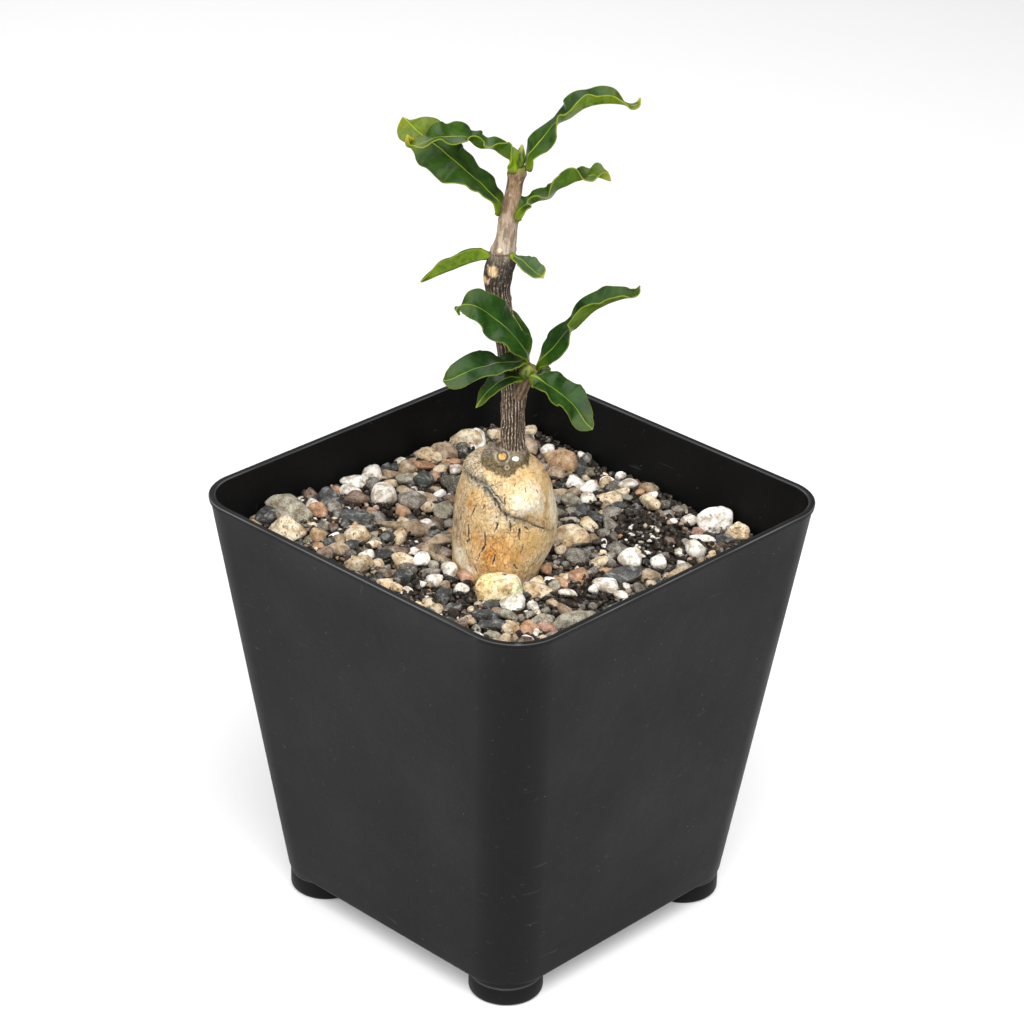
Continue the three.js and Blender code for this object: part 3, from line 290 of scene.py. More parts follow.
        (6.6, -15, 133.6, 2.9, 0.2, 2.7, 2.3), (7.5, -15.1, 133.1, 3.1, -0.1, 2.9, 2.6),
        (8.4, -15.2, 132.5, 3.1, -0.7, 3.4, 2), (9.2, -15.3, 131.9, 3.2, -0.8, 3.6, 1.8),
        (10.1, -15.3, 131.2, 3.2, -0.5, 3.3, 2.2), (10.9, -15.6, 130.6, 3.2, -0.1, 3.3, 3),
        (11.7, -15.9, 130, 3, -0.3, 3.2, 2.8), (12.4, -16.4, 129.4, 2.8, -0.5, 2.7, 2.4),
        (13.1, -16.9, 128.7, 2.3, -1, 2.4, 2.2), (13.7, -17.4, 128, 1.8, -1.6, 2.2, 2),
        (14.3, -17.9, 127.3, 1.8, -1.7, 1.9, 1.8), (14.9, -18.3, 126.6, 1.7, -1.5, 1.5, 1.4),
        (15.7, -18.8, 126, 1, -0.9, 1, 0.9), (16.4, -19.5, 125.7, 0, 0, 0, 0)],
    "leaf_l": [
        (4.3, -12.2, 134.6, 0.2, -0.1, 0.3, 0), (4.9, -11.9, 134.8, 0.9, 0.1, 1.1, -0.4),
        (5.4, -11.5, 135.1, 1.1, 0, 1.4, -0.5), (5.9, -11.1, 135.3, 1, -0.2, 1.3, -0.2),
        (6.4, -10.6, 135.3, 0.8, -0.5, 1.1, 0.4), (7, -10.2, 135.1, 0.4, -0.5, 0.5, 0.6),
        (7.5, -9.8, 134.9, 0, 0, 0, 0)],
    "leaf_m": [
        (2.4, -10.8, 137.1, 0.3, -0.1, 0.2, -0.1), (2.5, -10.4, 138.6, 0.7, -0.7, 0.8, 0.6),
        (2.6, -9.7, 140.1, 1.2, -1.1, 1.2, 0.9), (2.2, -9.2, 141.4, 1.7, -1, 1.4, 0.8),
        (1.4, -8.6, 142.6, 1.9, -0.5, 1.4, 0.7), (0.6, -7.6, 143.6, 1.7, -0.2, 1.2, 0.6),
        (-0.1, -6.5, 144.4, 1.3, 0.2, 1, 0.3), (-0.7, -5.4, 145.3, 0.9, 0.3, 0.6, 0.2),
        (-1.2, -4.2, 146.2, 0, 0, 0, 0)],
}
# How young each leaf is, from 0 to 1
LEAF_YOUTH = {"leaf_a": 0.62, "leaf_b": 0.45, "leaf_c": 0.4, "leaf_d": 0.42, "leaf_e": 0.45, "leaf_f": 0.7,
              "leaf_g": 0.1, "leaf_h": 0.1, "leaf_i": 0.05, "leaf_j": 0.15, "leaf_k": 0.15, "leaf_l": 0.1,
              "leaf_m": 0.3}
# How bluish some are, from 0 to 1: a pale grey-blue green that is partly the leaf's own tint and partly a
# painted sheen
LEAF_BLUE_SHEEN = {"leaf_l": 0.7, "leaf_i": 0.08, "leaf_f": 0.45}
# How pale the tip is, 0.1 where it isn't given, and how pale the lower face is painted, 0.6 where it isn't
# given: paler where light falls on it and darker where it is shaded, a painted light and shade
LEAF_PALE_TIP = {"leaf_a": 0.5, "leaf_c": 0.5, "leaf_b": 0.3, "leaf_d": 0.25, "leaf_j": 0.2}
LEAF_LIGHT_BELOW = {"leaf_a": 0.15, "leaf_b": 1, "leaf_d": 0.25, "leaf_e": 0.85}
# Points along a leaf, and steps across it
LEAF_ROWS = 110
LEAF_COLUMNS = 28
# Thickness at a leaf's margin, what its rib and stalk add to it, and the stalk's share of the leaf's length
LEAF_MARGIN = 0.26
LEAF_RIB = 0.3
LEAF_STALK = 1.1
STALK_SHARE = 0.14

# Stones that are pieces of their own: middle, length, width, height, turn in degrees, and kind
STONES = {
    "stone_front": ((14.4, -18.7, 88.8), (9.2, 6.4, 7.2), 42, "yellow"),
    "stone_grey_left": ((-40.2, -28.7, 91.2), (9.6, 7, 6), 35, "speckled"),
    "stone_pale_left": ((-33.6, -35.6, 91.2), (8.2, 6.4, 5.4), 50, "cream"),
    "stone_pale_right": ((7.6, 11.4, 88.6), (7.6, 6, 5.8), 75, "cream"),
    "stone_speckled": ((33.8, -15.8, 88.4), (8.6, 4.6, 4), 55, "speckled"),
    "stone_brown_back": ((-20.4, 37.4, 88.2), (7, 5, 5), 20, "amber"),
    "stone_cream_right": ((21.9, 14.5, 87.6), (7.2, 5.4, 5.2), 10, "white"),
    "stone_pale_wall": ((22.2, 42.6, 87.2), (7, 6, 7), 60, "flake"),
}
# The painted shade of a pit in the front stone, which the mesh does not hollow, and the slot of each kind of
# stone
FRONT_PIT_SHADE = (14.8, -17.1, 92.4)
STONE_SLOTS = {
    "cream": "stone_cream", "yellow": "stone_cream", "white": "stone_cream", "flake": "stone_cream",
    "speckled": "stone_grey", "amber": "stone_brown"}
# Pebbles known one by one, by kind: x, y, length, width and turn in degrees, which is 45 if it isn't given
PEBBLES = {
    "white": [
        (-45.1, -1.1, 4.4, 3.5), (-44.9, -6.1, 5.2, 3.9), (-44.2, 8.8, 2.5, 1.9), (-41.4, -9.4, 4.8, 3.6),
        (-40.7, 29.2, 4.3, 4.5), (-32.8, -7, 6.2, 5.7), (-32.4, 15, 2.5, 2.8), (-27.5, -25.2, 2, 1.6),
        (-27.2, 39.5, 3.5, 3.6), (-27, 7.6, 1, 1.1), (-26.4, -27.8, 2.4, 1.8), (-19.6, -6.9, 2.9, 1.8),
        (-17.2, -7.5, 2.4, 2.2), (-15.2, -29, 3.6, 2.9), (-10.2, -20, 2.2, 2), (-9, 40.4, 3.5, 2.9),
        (-8.1, 33.5, 4.6, 3, 90), (-5.3, -21.9, 3.2, 3.1), (-4.8, 29.4, 4.4, 2.8), (-2.8, 41.1, 3.9, 3.8),
        (0.7, -32.5, 2.4, 2.2), (1.3, -28.4, 1.8, 1.7), (1.8, -20.3, 3.6, 4.4), (1.9, -25.7, 3, 3.5),
        (3.2, 42.1, 2.5, 2.5), (5.3, -30.9, 1.2, 1.2), (12.9, 15.8, 1.3, 2.2), (13.6, 37.4, 3, 1.8),
        (16.1, 40.6, 4.1, 2.8, 5), (16.7, -4.9, 2.4, 1.6), (20.7, -20.4, 4.5, 5), (22.5, -16.8, 3.2, 2.8),
        (23, -6.4, 3.3, 2.2), (24.6, 36.1, 5.2, 2.2, 25), (25.9, -1.2, 2, 3.6), (26.6, 18.5, 3.3, 3.9),
        (26.9, 2.3, 4.2, 3.8), (27.9, 28.7, 4, 4.2), (28.4, -16.9, 1.5, 1.9), (28.5, 24, 1.8, 1.5),
        (31.3, 1.9, 3.7, 1.9, 15), (31.7, -27.5, 3, 1.6, 5)],
    "slate": [
        (-43.1, -18.9, 1.7, 1.8), (-43, -2.4, 2.1, 3.2), (-42.5, 6.3, 2.5, 1.8), (-42.3, -34.2, 4.2, 3.8, 5),
        (-39.9, -16.8, 5.8, 4.3, 15), (-33.1, 5.4, 4, 3.4), (-30.1, -18.2, 7.3, 2.9, 35),
        (-29.4, -22, 2.4, 2.7), (-25.2, -19.8, 2.8, 2.5), (-18.2, -20.1, 2.8, 3.1), (-13.1, -26.3, 3.6, 3.1),
        (-6.9, -32.8, 2.4, 2.2), (-2.8, -30.2, 3.6, 3.3), (-1.5, 24.6, 3.9, 2.8, 25), (2.5, 24, 3.6, 2.7, 0),
        (2.6, 32.3, 2.5, 2.3), (8.8, -29.7, 3.3, 3.7), (12.7, 10.9, 2.9, 2.2, 75), (17, -23, 3.4, 2.6),
        (18.9, -27.8, 4.3, 3.1), (23.6, -29, 4.9, 2.6, 55), (26.6, 7.9, 6.1, 4.3, 35)],
    "grey": [
        (-44.7, 2.2, 2.3, 2.8), (-42.9, 33.5, 3, 2.4), (-39.1, 24, 2.6, 2.8), (-39, -4.5, 3.3, 3.2),
        (-34.6, -19.6, 2.5, 2.7), (-31.8, 39.4, 2.7, 2.4), (-31.7, -26.5, 2.7, 3.2),
        (-27.7, -3.3, 6.2, 4.5, 25), (-19, -31, 2.4, 2.6), (-5, 38.4, 3.5, 2.8, 85), (-3.2, 22.4, 2.3, 1.8),
        (-2.9, -20.9, 2.4, 3.3), (0.8, 36.6, 1.8, 1.8), (4, 28.4, 3.4, 3.3), (7.6, 42, 2.3, 2.3),
        (9.2, 19.8, 2.2, 2.5), (10, 40.1, 2.5, 2.8), (11.1, 42.3, 2.5, 2), (12.9, 7.3, 5.1, 3.7, 75),
        (19.4, 11, 2.4, 2.7), (21.6, -32.5, 1.7, 1.9), (23.9, -33.8, 1.5, 1.1), (25.2, -20.5, 1.9, 1.9)],
    "cream": [
        (-44.7, 28, 6.4, 4.5), (-44.4, 16.1, 5.5, 4), (-40.5, 35.8, 3.4, 2.8), (-37.3, -0.7, 3.1, 2.7),
        (-35.9, -28, 2.2, 1.8), (-35.2, 12.4, 2.9, 2.8), (-33.9, -28.1, 2, 1.6),
        (-28.3, -31.1, 3.4, 3.4, 85), (-26.7, -22.6, 2.4, 1.8), (-23.7, -10, 2.5, 2.2), (-22.5, -25.3, 5, 4),
        (-22.4, -3.3, 3.1, 2.5), (-18.1, -24.3, 3.2, 2), (-17, -17.9, 3.6, 3.6), (-16.5, -31.9, 2, 1.8),
        (-13.1, -33.2, 4.4, 3.9), (-11.6, -29.2, 2.8, 2.2), (-7.9, 38.8, 3, 2.8), (-7.5, -25.4, 4.4, 3.5),
        (-3.8, -34.2, 2.8, 2.4), (-1.5, 33.6, 5.3, 3.3, 75), (-1.1, -33.5, 2.4, 2.6),
        (4.9, 19.8, 3.4, 3.2, 165), (5.5, 38.5, 5.7, 3.3, 165), (7.7, -32.9, 2.6, 2.4), (8.9, 6.8, 2.2, 3.2),
        (11.4, -34, 2.4, 2.1), (15.2, 12.5, 1.6, 1.5), (16, -8.1, 2.8, 2.2), (16.2, -28.3, 1.9, 2.1),
        (17.8, 8.9, 3.1, 3.2), (18, -1.5, 2.2, 2.2), (18.3, -33.2, 2.3, 2.1), (18.8, -11.9, 6.3, 3.1, 35),
        (19.1, 19.8, 3.3, 1, 165), (25.4, -18.2, 1.5, 1.7), (28.4, 44.9, 4.7, 4), (28.8, -30.9, 2.5, 2.1),
        (30.7, 14.6, 1.5, 1), (30.9, 31.7, 3.8, 2, 75), (31.5, 19.3, 5.7, 2.2, 85),
        (33.2, -24, 3.4, 1.6, 65)],
    "speckled": [
        (-37.1, 3.7, 4, 2.8), (-28.6, -34, 2.3, 1.8), (-27.3, 2.3, 2.5, 2), (-19.8, -0.9, 4.1, 5),
        (-7, 25.7, 3.9, 2.8, 15), (-0.4, 18.7, 4.5, 1.5), (18.8, -6, 2.4, 2.6), (22.4, -24.4, 5.1, 2.1, 15),
        (25.6, -15.7, 2.2, 1.7), (26.2, -32.5, 3.4, 2.1, 5), (28.4, -19.5, 4.3, 2.1, 65)],
    "brown": [
        (-45.4, -18.8, 2.6, 2.6), (-35.8, -12.3, 4.9, 4.1), (-26.4, -36.2, 2.2, 1.4), (-23.7, 4.7, 2.5, 2.3),
        (-12.6, -22.9, 4.4, 3.1), (-11.8, -16.2, 2, 1.8), (-7.6, -31, 2.4, 2.4), (-4.9, -15.9, 3.6, 2.6)],
    "orange": [
        (-44.4, -13.4, 4.8, 2.3, 90), (-39.8, 11, 6.9, 3, 35), (-37.2, -22.6, 4.2, 3.6, 15),
        (-37, 16.2, 1.7, 1.9), (-35.5, 17.7, 2.5, 1.9), (-29.7, -13.6, 2.5, 2.5), (-26.5, -16.8, 1.4, 1.6),
        (-25.2, -34.1, 2.2, 2.6), (0.8, 40.7, 1.8, 2.3), (5.4, -19.2, 3.4, 3.7), (12.4, -1.8, 2.2, 2.4),
        (19.5, 0.8, 3.7, 4.8), (21.9, 7.6, 3.1, 1.7), (28.5, -24.6, 3.2, 3)],
    "tan": [
        (-41.1, 2.3, 2.9, 2.8), (-40.2, 19.4, 4.9, 4.2), (-38.2, -12.4, 2.9, 2.3), (-33, -0.5, 3.7, 2.7),
        (-23.3, -14.1, 6.9, 2.2, 25), (-21.4, -32, 3.6, 3.1), (-21, -21.6, 2, 1.8), (-20.1, -10.4, 2.4, 2.2),
        (-17.1, 32.4, 3.9, 2.9), (-16.7, -11.1, 3.4, 2.9), (-10.2, -12.1, 4.4, 3.1, 65),
        (-9.1, 28.9, 2.8, 2.3), (-8.9, -16.8, 2.4, 2.2), (-4.2, -17.7, 4.4, 1.8, 170), (5.1, -25.5, 2, 2.9),
        (9.4, 15.3, 2.9, 2), (14.5, -24.7, 1.7, 1.4), (19.3, -31.6, 1.7, 2.3), (22.8, 9.5, 1.3, 0.7),
        (23.9, 11.3, 2, 1), (24.7, -12.5, 2.6, 1.9, 170), (29.8, -29.2, 1.4, 1.9)],
    "pink": [
        (31.2, -21.2, 4.5, 2.3, 25)],
}
# Peat with few stones on it: x, y, radius and how high it is heaped
BARE_PATCHES = [
    (12.5, 29, 6.8, 2.4), (18, 24, 4.5, 1), (19, 33, 3.5, 0.3), (2, -33, 4, 0), (-1, -27.4, 3, 0),
    (11, -26.3, 3.4, 0), (-9.4, -22, 2, 0), (25, -8, 3.6, 0.3), (23.9, -2, 2.2, 0), (17, 7, 2, 0),
    (28, 13, 2, 0), (22, 43, 2.2, 0), (30, 38, 2.6, 0), (-28, 3.5, 3, 0), (-28, 7, 2, 0), (-16, -35, 2, 0)]
# White flakes: x, y, how far they spread and how many there are
PERLITE = (17, 24.5, 5.4, 22)
# Kinds of scattered gravel, and the share of each
KINDS = ["white", "cream", "grey", "tan", "slate", "orange", "pink", "brown", "speckled"]
KIND_SHARES = [0.08, 0.1, 0.28, 0.14, 0.17, 0.05, 0.01, 0.12, 0.05]
# Gravel by layers: spacing, random shift, shortest and longest stone, the share that is stone and not peat,
# and the rows and columns of a stone's mesh
GRAVEL_LAYERS = [
    (5.2, 1.6, 3.4, 5.6, 1, 9, 14), (3.4, 1.1, 2.2, 3.6, 0.8, 7, 11), (2.2, 0.8, 1.3, 2.3, 0.5, 5, 8)]
# The fine grit: spacing, random shift and the share that is stone; and the lengths of grit and white flakes
GRIT = (1.45, 0.6, 0.4)
GRIT_LENGTHS = (0.7, 1.8)
# A known pebble or a larger stone is longer by this factor than what the peat leaves to be seen of it
PEBBLE_GROWTH = 1.25
STONE_GROWTH = 1.08
# Rows and columns of a stone's mesh
STONE_GRID = (44, 66)
PEBBLE_GRID = (12, 18)
FLAKE_GRID = (6, 9)
GRIT_GRID = (3, 5)
# What a stone keeps clear round its middle, as a share of its length
STONE_CLEAR = 0.42
PEBBLE_CLEAR = 0.22
GRAVEL_SEED = 17
STONE_SEED = 5
# Half widths of the square that gravel fills: for middles, with its rounded corner, for whole stones, and for
# the grid of spots
GRAVEL_HALF = 46.6
GRAVEL_CORNER = 9.5
STONE_HALF = 46.2
GRID_HALF = 54
# Each kind's darker and lighter colour
KIND_COLOURS = {
    "white": ((0.74, 0.69, 0.61), (0.96, 0.94, 0.89)),
    "flake": ((0.74, 0.69, 0.61), (0.96, 0.94, 0.89)),
    "cream": ((0.5, 0.39, 0.25), (0.86, 0.75, 0.55)),
    "yellow": ((0.86, 0.76, 0.46), (0.97, 0.9, 0.64)),
    "grey": ((0.1, 0.088, 0.072), (0.3, 0.27, 0.225)),
    "speckled": ((0.2, 0.185, 0.13), (0.36, 0.33, 0.25)),
    "slate": ((0.016, 0.0175, 0.019), (0.06, 0.064, 0.064)),
    "orange": ((0.38, 0.19, 0.095), (0.62, 0.37, 0.21)),
    "pink": ((0.38, 0.2, 0.14), (0.6, 0.4, 0.32)),
    "tan": ((0.27, 0.19, 0.115), (0.5, 0.38, 0.25)),
    "brown": ((0.09, 0.053, 0.034), (0.22, 0.14, 0.09)),
    "amber": ((0.34, 0.2, 0.1), (0.5, 0.32, 0.17)),
    "peat": ((0.008, 0.005, 0.003), (0.04, 0.024, 0.014)),
}
# How sharp each kind's edges are, and how lumpy it is
KIND_FORMS = {
    "white": (5, 0.03), "flake": (6, 0.2), "cream": (8, 0.09), "yellow": (14, 0.11), "grey": (9, 0.05),
    "speckled": (8, 0.06), "slate": (15, 0.06), "orange": (7, 0.03), "pink": (9, 0.04), "tan": (11, 0.05),
    "brown": (11, 0.08), "amber": (8, 0.03), "peat": (5, 0.2),
}
# The finish of each kind
FINISH_KINDS = {
    "marble": ["white", "flake"], "pumice": ["cream", "yellow"], "greystone": ["grey", "speckled"],
    "slate": ["slate"], "granite": ["orange", "pink"], "brownstone": ["tan", "brown", "amber"],
    "crumb": ["peat"],
}

# Studio: the floor and its glow, the light from all round, and the place that the lights face. Each light has
# its place above, beyond and to the right of the pot, its size and its power.
FLOOR_HALF = 6000
FLOOR_GLOW = 0.17
SKY_STRENGTH = 0.2
LIGHT_TARGET = (0, 0, 80)
LIGHTS = {
    "main": (750, -500, 150, 900, 13), "fill": (500, -350, -700, 700, 4), "back": (700, 600, -150, 600, 2.6)}


# Numbers and curves

def unit(vectors):
    """Vectors of length one in the same directions."""
    vectors = np.asarray(vectors, float)
    return vectors / np.maximum(np.linalg.norm(vectors, axis=-1, keepdims=True), 1e-9)


def eased(values, low, high):
    """0 below low, 1 above high, and a smooth S between them."""
    part = np.clip((values - low) / (high - low), 0, 1)
    return part * part * (3 - 2 * part)


def hump(values, middle, width):
    """1 at the middle value and less away from it: exp(-((value - middle) / width) ** 2)."""
    return np.exp(-(((values - middle) / width) ** 2))


def curve_rows(rows, shares):
    """Points of the smooth curve (Catmull-Rom) through rows of numbers; a share of 1 is the last row."""
    rows = np.asarray(rows, float)
    padded = np.vstack([2 * rows[0] - rows[1], rows, 2 * rows[-1] - rows[-2]])
    spans = len(rows) - 1
    place = np.clip(shares, 0, 1) * spans
    span = np.minimum(place.astype(int), spans - 1)
    t = (place - span)[:, None]
    a, b, c, d = (padded[span + k] for k in range(4))
    return 0.5 * (2 * b + (c - a) * t + (2 * a - 5 * b + 4 * c - d) * t**2 + (3 * b - a - 3 * c + d) * t**3)


def lattice_value(cells, seed):
    """A repeatable number from 0 to 1 for each whole-number cell: its three indices, multiplied and mixed."""
    cells = cells.astype(np.int64) & 0xFFFF
    mixed = cells[..., 0] * 374761393 + cells[..., 1] * 668265263 + cells[..., 2] * 2246822519
    mixed = (mixed + seed * 3266489917) & 0xFFFFFFFF
    mixed = ((mixed ^ (mixed >> 13)) * 1274126177) & 0xFFFFFFFF
    return (mixed ^ (mixed >> 16)) / 4294967296.0


def noise(points, size, seed, octaves=1):
    """Value noise from -1 to 1: random numbers at the corners of cubes of this size, eased between corners.

    Each further octave halves the cubes and the share that it adds."""
    total = 0
    weight = 1.0
    for octave in range(octaves):
        place = points / (np.asarray(size) / 2**octave)
        cell = np.floor(place)
        part = place - cell
        part = part * part * (3 - 2 * part)
        for corner in np.ndindex(2, 2, 2):
            offset = np.array(corner)
            share = np.prod(np.where(offset == 1, part, 1 - part), axis=-1)
            total = total + weight * share * (2 * lattice_value(cell + offset, seed + octave) - 1)
        weight *= 0.5
    return total


def turned(points, angle):
    """Points turned about the upright axis through the origin."""
    c, s = math.cos(angle), math.sin(angle)
    x, y, z = points[..., 0], points[..., 1], points[..., 2]
    return np.stack([c * x - s * y, s * x + c * y, z], axis=-1)


# Meshes

class Shape:
    """Points, faces and named values at the points, gathered part by part into one mesh."""

    def __init__(self):
        self.points = []
        self.quads = []
        self.triangles = []
        self.values = {}
        self.count = 0

    def add(self, points, quads=(), triangles=(), **values):
        """Adds points, faces that count from the first of them, and values for each point."""
        points = np.asarray(points, float).reshape(-1, 3)
        for faces, kept, corners in ((quads, self.quads, 4), (triangles, self.triangles, 3)):
            faces = np.asarray(faces, int).reshape(-1, corners)
            if len(faces):
                kept.append(faces + self.count)
        self.points.append(points)
        for name, value in values.items():
            self.values.setdefault(name, []).append(np.asarray(value, float).reshape(len(points), -1))
        self.count += len(points)

    def piece(self, name, finish, slot, replaces=(), sharp=None):
        """Makes the object, with its finish and the nodes that it stands for, which it hides. The slot is not
        used.
        """
        mesh = bpy.data.meshes.new(name)
        points = np.concatenate(self.points) * MM
        faces = [face for kept in (self.quads, self.triangles) for face in kept]
        corners = np.concatenate([face.ravel() for face in faces])
        sizes = np.concatenate([np.full(len(face), face.shape[1]) for face in faces])
        mesh.vertices.add(len(points))
        mesh.vertices.foreach_set("co", points.ravel())
        mesh.loops.add(len(corners))
        mesh.loops.foreach_set("vertex_index", corners)
        mesh.polygons.add(len(sizes))
        mesh.polygons.foreach_set("loop_start", np.concatenate([[0], np.cumsum(sizes)[:-1]]))
        mesh.polygons.foreach_set("use_smooth", np.ones(len(sizes), bool))
        for key, parts in self.values.items():
            values = np.concatenate(parts)
            if values.shape[1] == 1:
                mesh.attributes.new(key, "FLOAT", "POINT").data.foreach_set("value", values.ravel())
            else:
                colours = np.hstack([values, np.ones((len(values), 1))])
                mesh.attributes.new(key, "FLOAT_COLOR", "POINT").data.foreach_set("color", colours.ravel())
        mesh.update(calc_edges=True)
        mesh.validate()
        if sharp is not None:
            mesh.set_sharp_from_angle(angle=math.radians(sharp))
        mesh.materials.append(finish)
        made = bpy.data.objects.new(name, mesh)
        bpy.context.collection.objects.link(made)
        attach(made, "root")
        if replaces:
            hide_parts(*replaces)


def grid_faces(rows, columns, ring=False, flip=False):
    """Four-cornered faces of a grid of points, row after row; a ring's last column joins its first."""
    i, j = np.meshgrid(np.arange(rows - 1), np.arange(columns if ring else columns - 1), indexing="ij")
    a = i * columns + j
    b = i * columns + (j + 1) % columns
    faces = np.stack([a, b, b + columns, a + columns], axis=-1).reshape(-1, 4)
    return faces[:, ::-1] if flip else faces


def end_fans(rows, columns):
    """Fans of triangles that close a grid's first and last ring round the two points that follow it."""
    k = np.arange(columns)
    following = (k + 1) % columns
    top = (rows - 1) * columns
    low_fan = np.stack([following, k, np.full(columns, rows * columns)], axis=-1)
    high_fan = np.stack([top + k, top + following, np.full(columns, rows * columns + 1)], axis=-1)
    return np.vstack([low_fan, high_fan])


def add_tube(shape, rings, **values):
    """A closed skin over rings of points: their grid, and a fan of triangles round the middle of each end."""
    rows, columns = rings.shape[:2]

    def with_ends(grid):
        """The grid's values row by row, and then the means of its first and last ring."""
        ends = [grid[k].reshape(columns, -1).mean(axis=0) for k in (0, -1)]
        return np.vstack([grid.reshape(rows * columns, -1), *ends])

    spread = {name: with_ends(value) for name, value in values.items()}
    shape.add(with_ends(rings), grid_faces(rows, columns, ring=True), end_fans(rows, columns), **spread)


def limb_rings(rows, steps, sides, relief=None):
    """Rings round a path, each square to it: a point is the ring's middle plus outwards times the radius.

    relief takes the radii, the angles and the plain surface, and gives the radii to use."""
    shares = np.linspace(0, 1, steps)
    path = curve_rows(rows, shares)
    middle = path[:, :3]
    course = unit(curve_rows(rows, shares + 0.01)[:, :3] - curve_rows(rows, shares - 0.01)[:, :3])
    across = unit(np.array([1.0, 0, 0]) - course[:, :1] * course)
    over = np.cross(course, across)
    angle = np.linspace(0, 2 * np.pi, sides, endpoint=False)
    c, s = np.cos(angle)[None, :, None], np.sin(angle)[None, :, None]
    outward = across[:, None] * c + over[:, None] * s
    reach = np.repeat(path[:, 3:4], sides, axis=1)
    if relief:
        surface = middle[:, None] + reach[..., None] * outward
        reach = relief(reach, np.broadcast_to(angle, reach.shape), surface)
    return middle[:, None] + reach[..., None] * outward


# Finishes

class Signal:
    """The output of a node. Adding, subtracting or multiplying it makes a node that does so."""

    def __init__(self, finish, socket):
        self.finish = finish
        self.socket = socket

    def __add__(self, other):
        return self.finish.calc("ADD", self, other)

    def __radd__(self, other):
        return self.finish.calc("ADD", other, self)

    def __sub__(self, other):
        return self.finish.calc("SUBTRACT", self, other)

    def __rsub__(self, other):
        return self.finish.calc("SUBTRACT", other, self)

    def __mul__(self, other):
        return self.finish.calc("MULTIPLY", self, other)

    def __abs__(self):
        return self.finish.calc("ABSOLUTE", self)


class Finish:
    """A procedural material: its shader, and short calls for the nodes that feed it. Lengths are in mm."""

    def __init__(self, name, **constants):
        self.material = bpy.data.materials.new(name)
        self.material.use_nodes = True
        self.tree = self.material.node_tree
        self.shader = self.tree.nodes["Principled BSDF"]
        for socket, value in constants.items():
            self.shader.inputs[socket.replace("_", " ")].default_value = value
        self.place = self.scaled(self.node("ShaderNodeTexCoord", "Object", {}), (1 / MM,) * 3)

    def feed(self, socket, value):
        """Links a signal to a socket, or sets the socket to a number or colour."""
        if isinstance(value, Signal):
            self.tree.links.new(value.socket, socket)
        else:
            socket.default_value = value

    def node(self, kind, output, inputs, **settings):
        """Adds a node, sets and feeds it, and gives the signal of one output."""
        made = self.tree.nodes.new(kind)
        for key, value in settings.items():
            setattr(made, key, value)
        for key, value in inputs.items():
            self.feed(made.inputs[key], value)
        return Signal(self, made.outputs[output])

    def scaled(self, vector, scale):
        """A place multiplied by a scale along each axis."""
        return self.node("ShaderNodeMapping", "Vector", {"Vector": vector, "Scale": scale})

    def noise(self, size, detail=3.0, roughness=0.55, stretch=None, warp=0.0):
        """Soft noise from 0 to 1 whose lumps are about this size; stretch lengthens them along an axis."""
        vector = self.scaled(self.place, tuple(1 / s for s in stretch)) if stretch else self.place
        form = {"Scale": 1 / size, "Detail": detail, "Roughness": roughness, "Distortion": warp}
        return self.node("ShaderNodeTexNoise", "Fac", {"Vector": vector, **form})

    def cells(self, size, feature="F1", stretch=(1, 1, 1)):
        """Distance to the nearest random point, or to the edge between two, with points this far apart."""
        inputs = {"Vector": self.scaled(self.place, tuple(1 / s for s in stretch)), "Scale": 1 / size}
        return self.node("ShaderNodeTexVoronoi", "Distance", inputs, feature=feature)

    def value(self, name, output="Fac"):
        """The number that the mesh carries at its points under this name."""
        return self.node("ShaderNodeAttribute", output, {}, attribute_name=name)

    def band(self, value, low, high, start=0.0, end=1.0):
        """start below low, end above high, and a smooth S between them."""
        inputs = {"Value": value, "From Min": low, "From Max": high, "To Min": start, "To Max": end}
        return self.node("ShaderNodeMapRange", "Result", inputs, interpolation_type="SMOOTHSTEP")

    def calc(self, operation, a, b=0.0):
        """A Math node's operation on two numbers, or on the first alone."""
        return self.node("ShaderNodeMath", 0, {0: a, 1: b}, operation=operation)

    def mix(self, share, a, b, blend="MIX"):
        """Colour a, going to colour b as the share goes from 0 to 1."""
        a, b = ((*colour, 1.0) if isinstance(colour, tuple) else colour for colour in (a, b))
        return self.node("ShaderNodeMix", 2, {0: share, 6: a, 7: b}, data_type="RGBA", blend_type=blend)

    def layers(self, colour, *layers):
        """A colour with others laid over it in turn, each as a share, a colour and, if need be, a blend."""
        for share, paint, *blend in layers:
            colour = self.mix(share, colour, paint, *blend)
        return colour

    def between(self, share, low, high, dark, light):
        """Colour dark where the share is below low, light where it is above high, and blended between."""
        return self.mix(self.band(share, low, high), dark, light)

    def bump(self, height, depth, normal=None):
        """Relief this deep from a height of 0 to 1, added to another relief."""
        inputs = {"Strength": 1.0, "Distance": depth * MM, "Height": height}
        if normal is not None:
            inputs["Normal"] = normal
        return self.node("ShaderNodeBump", "Normal", inputs)

    def done(self, colour, roughness, normal):
        """The material, once its shader is fed."""
        for socket, value in (("Base Color", colour), ("Roughness", roughness), ("Normal", normal)):
            self.feed(self.shader.inputs[socket], value)
        return self.material


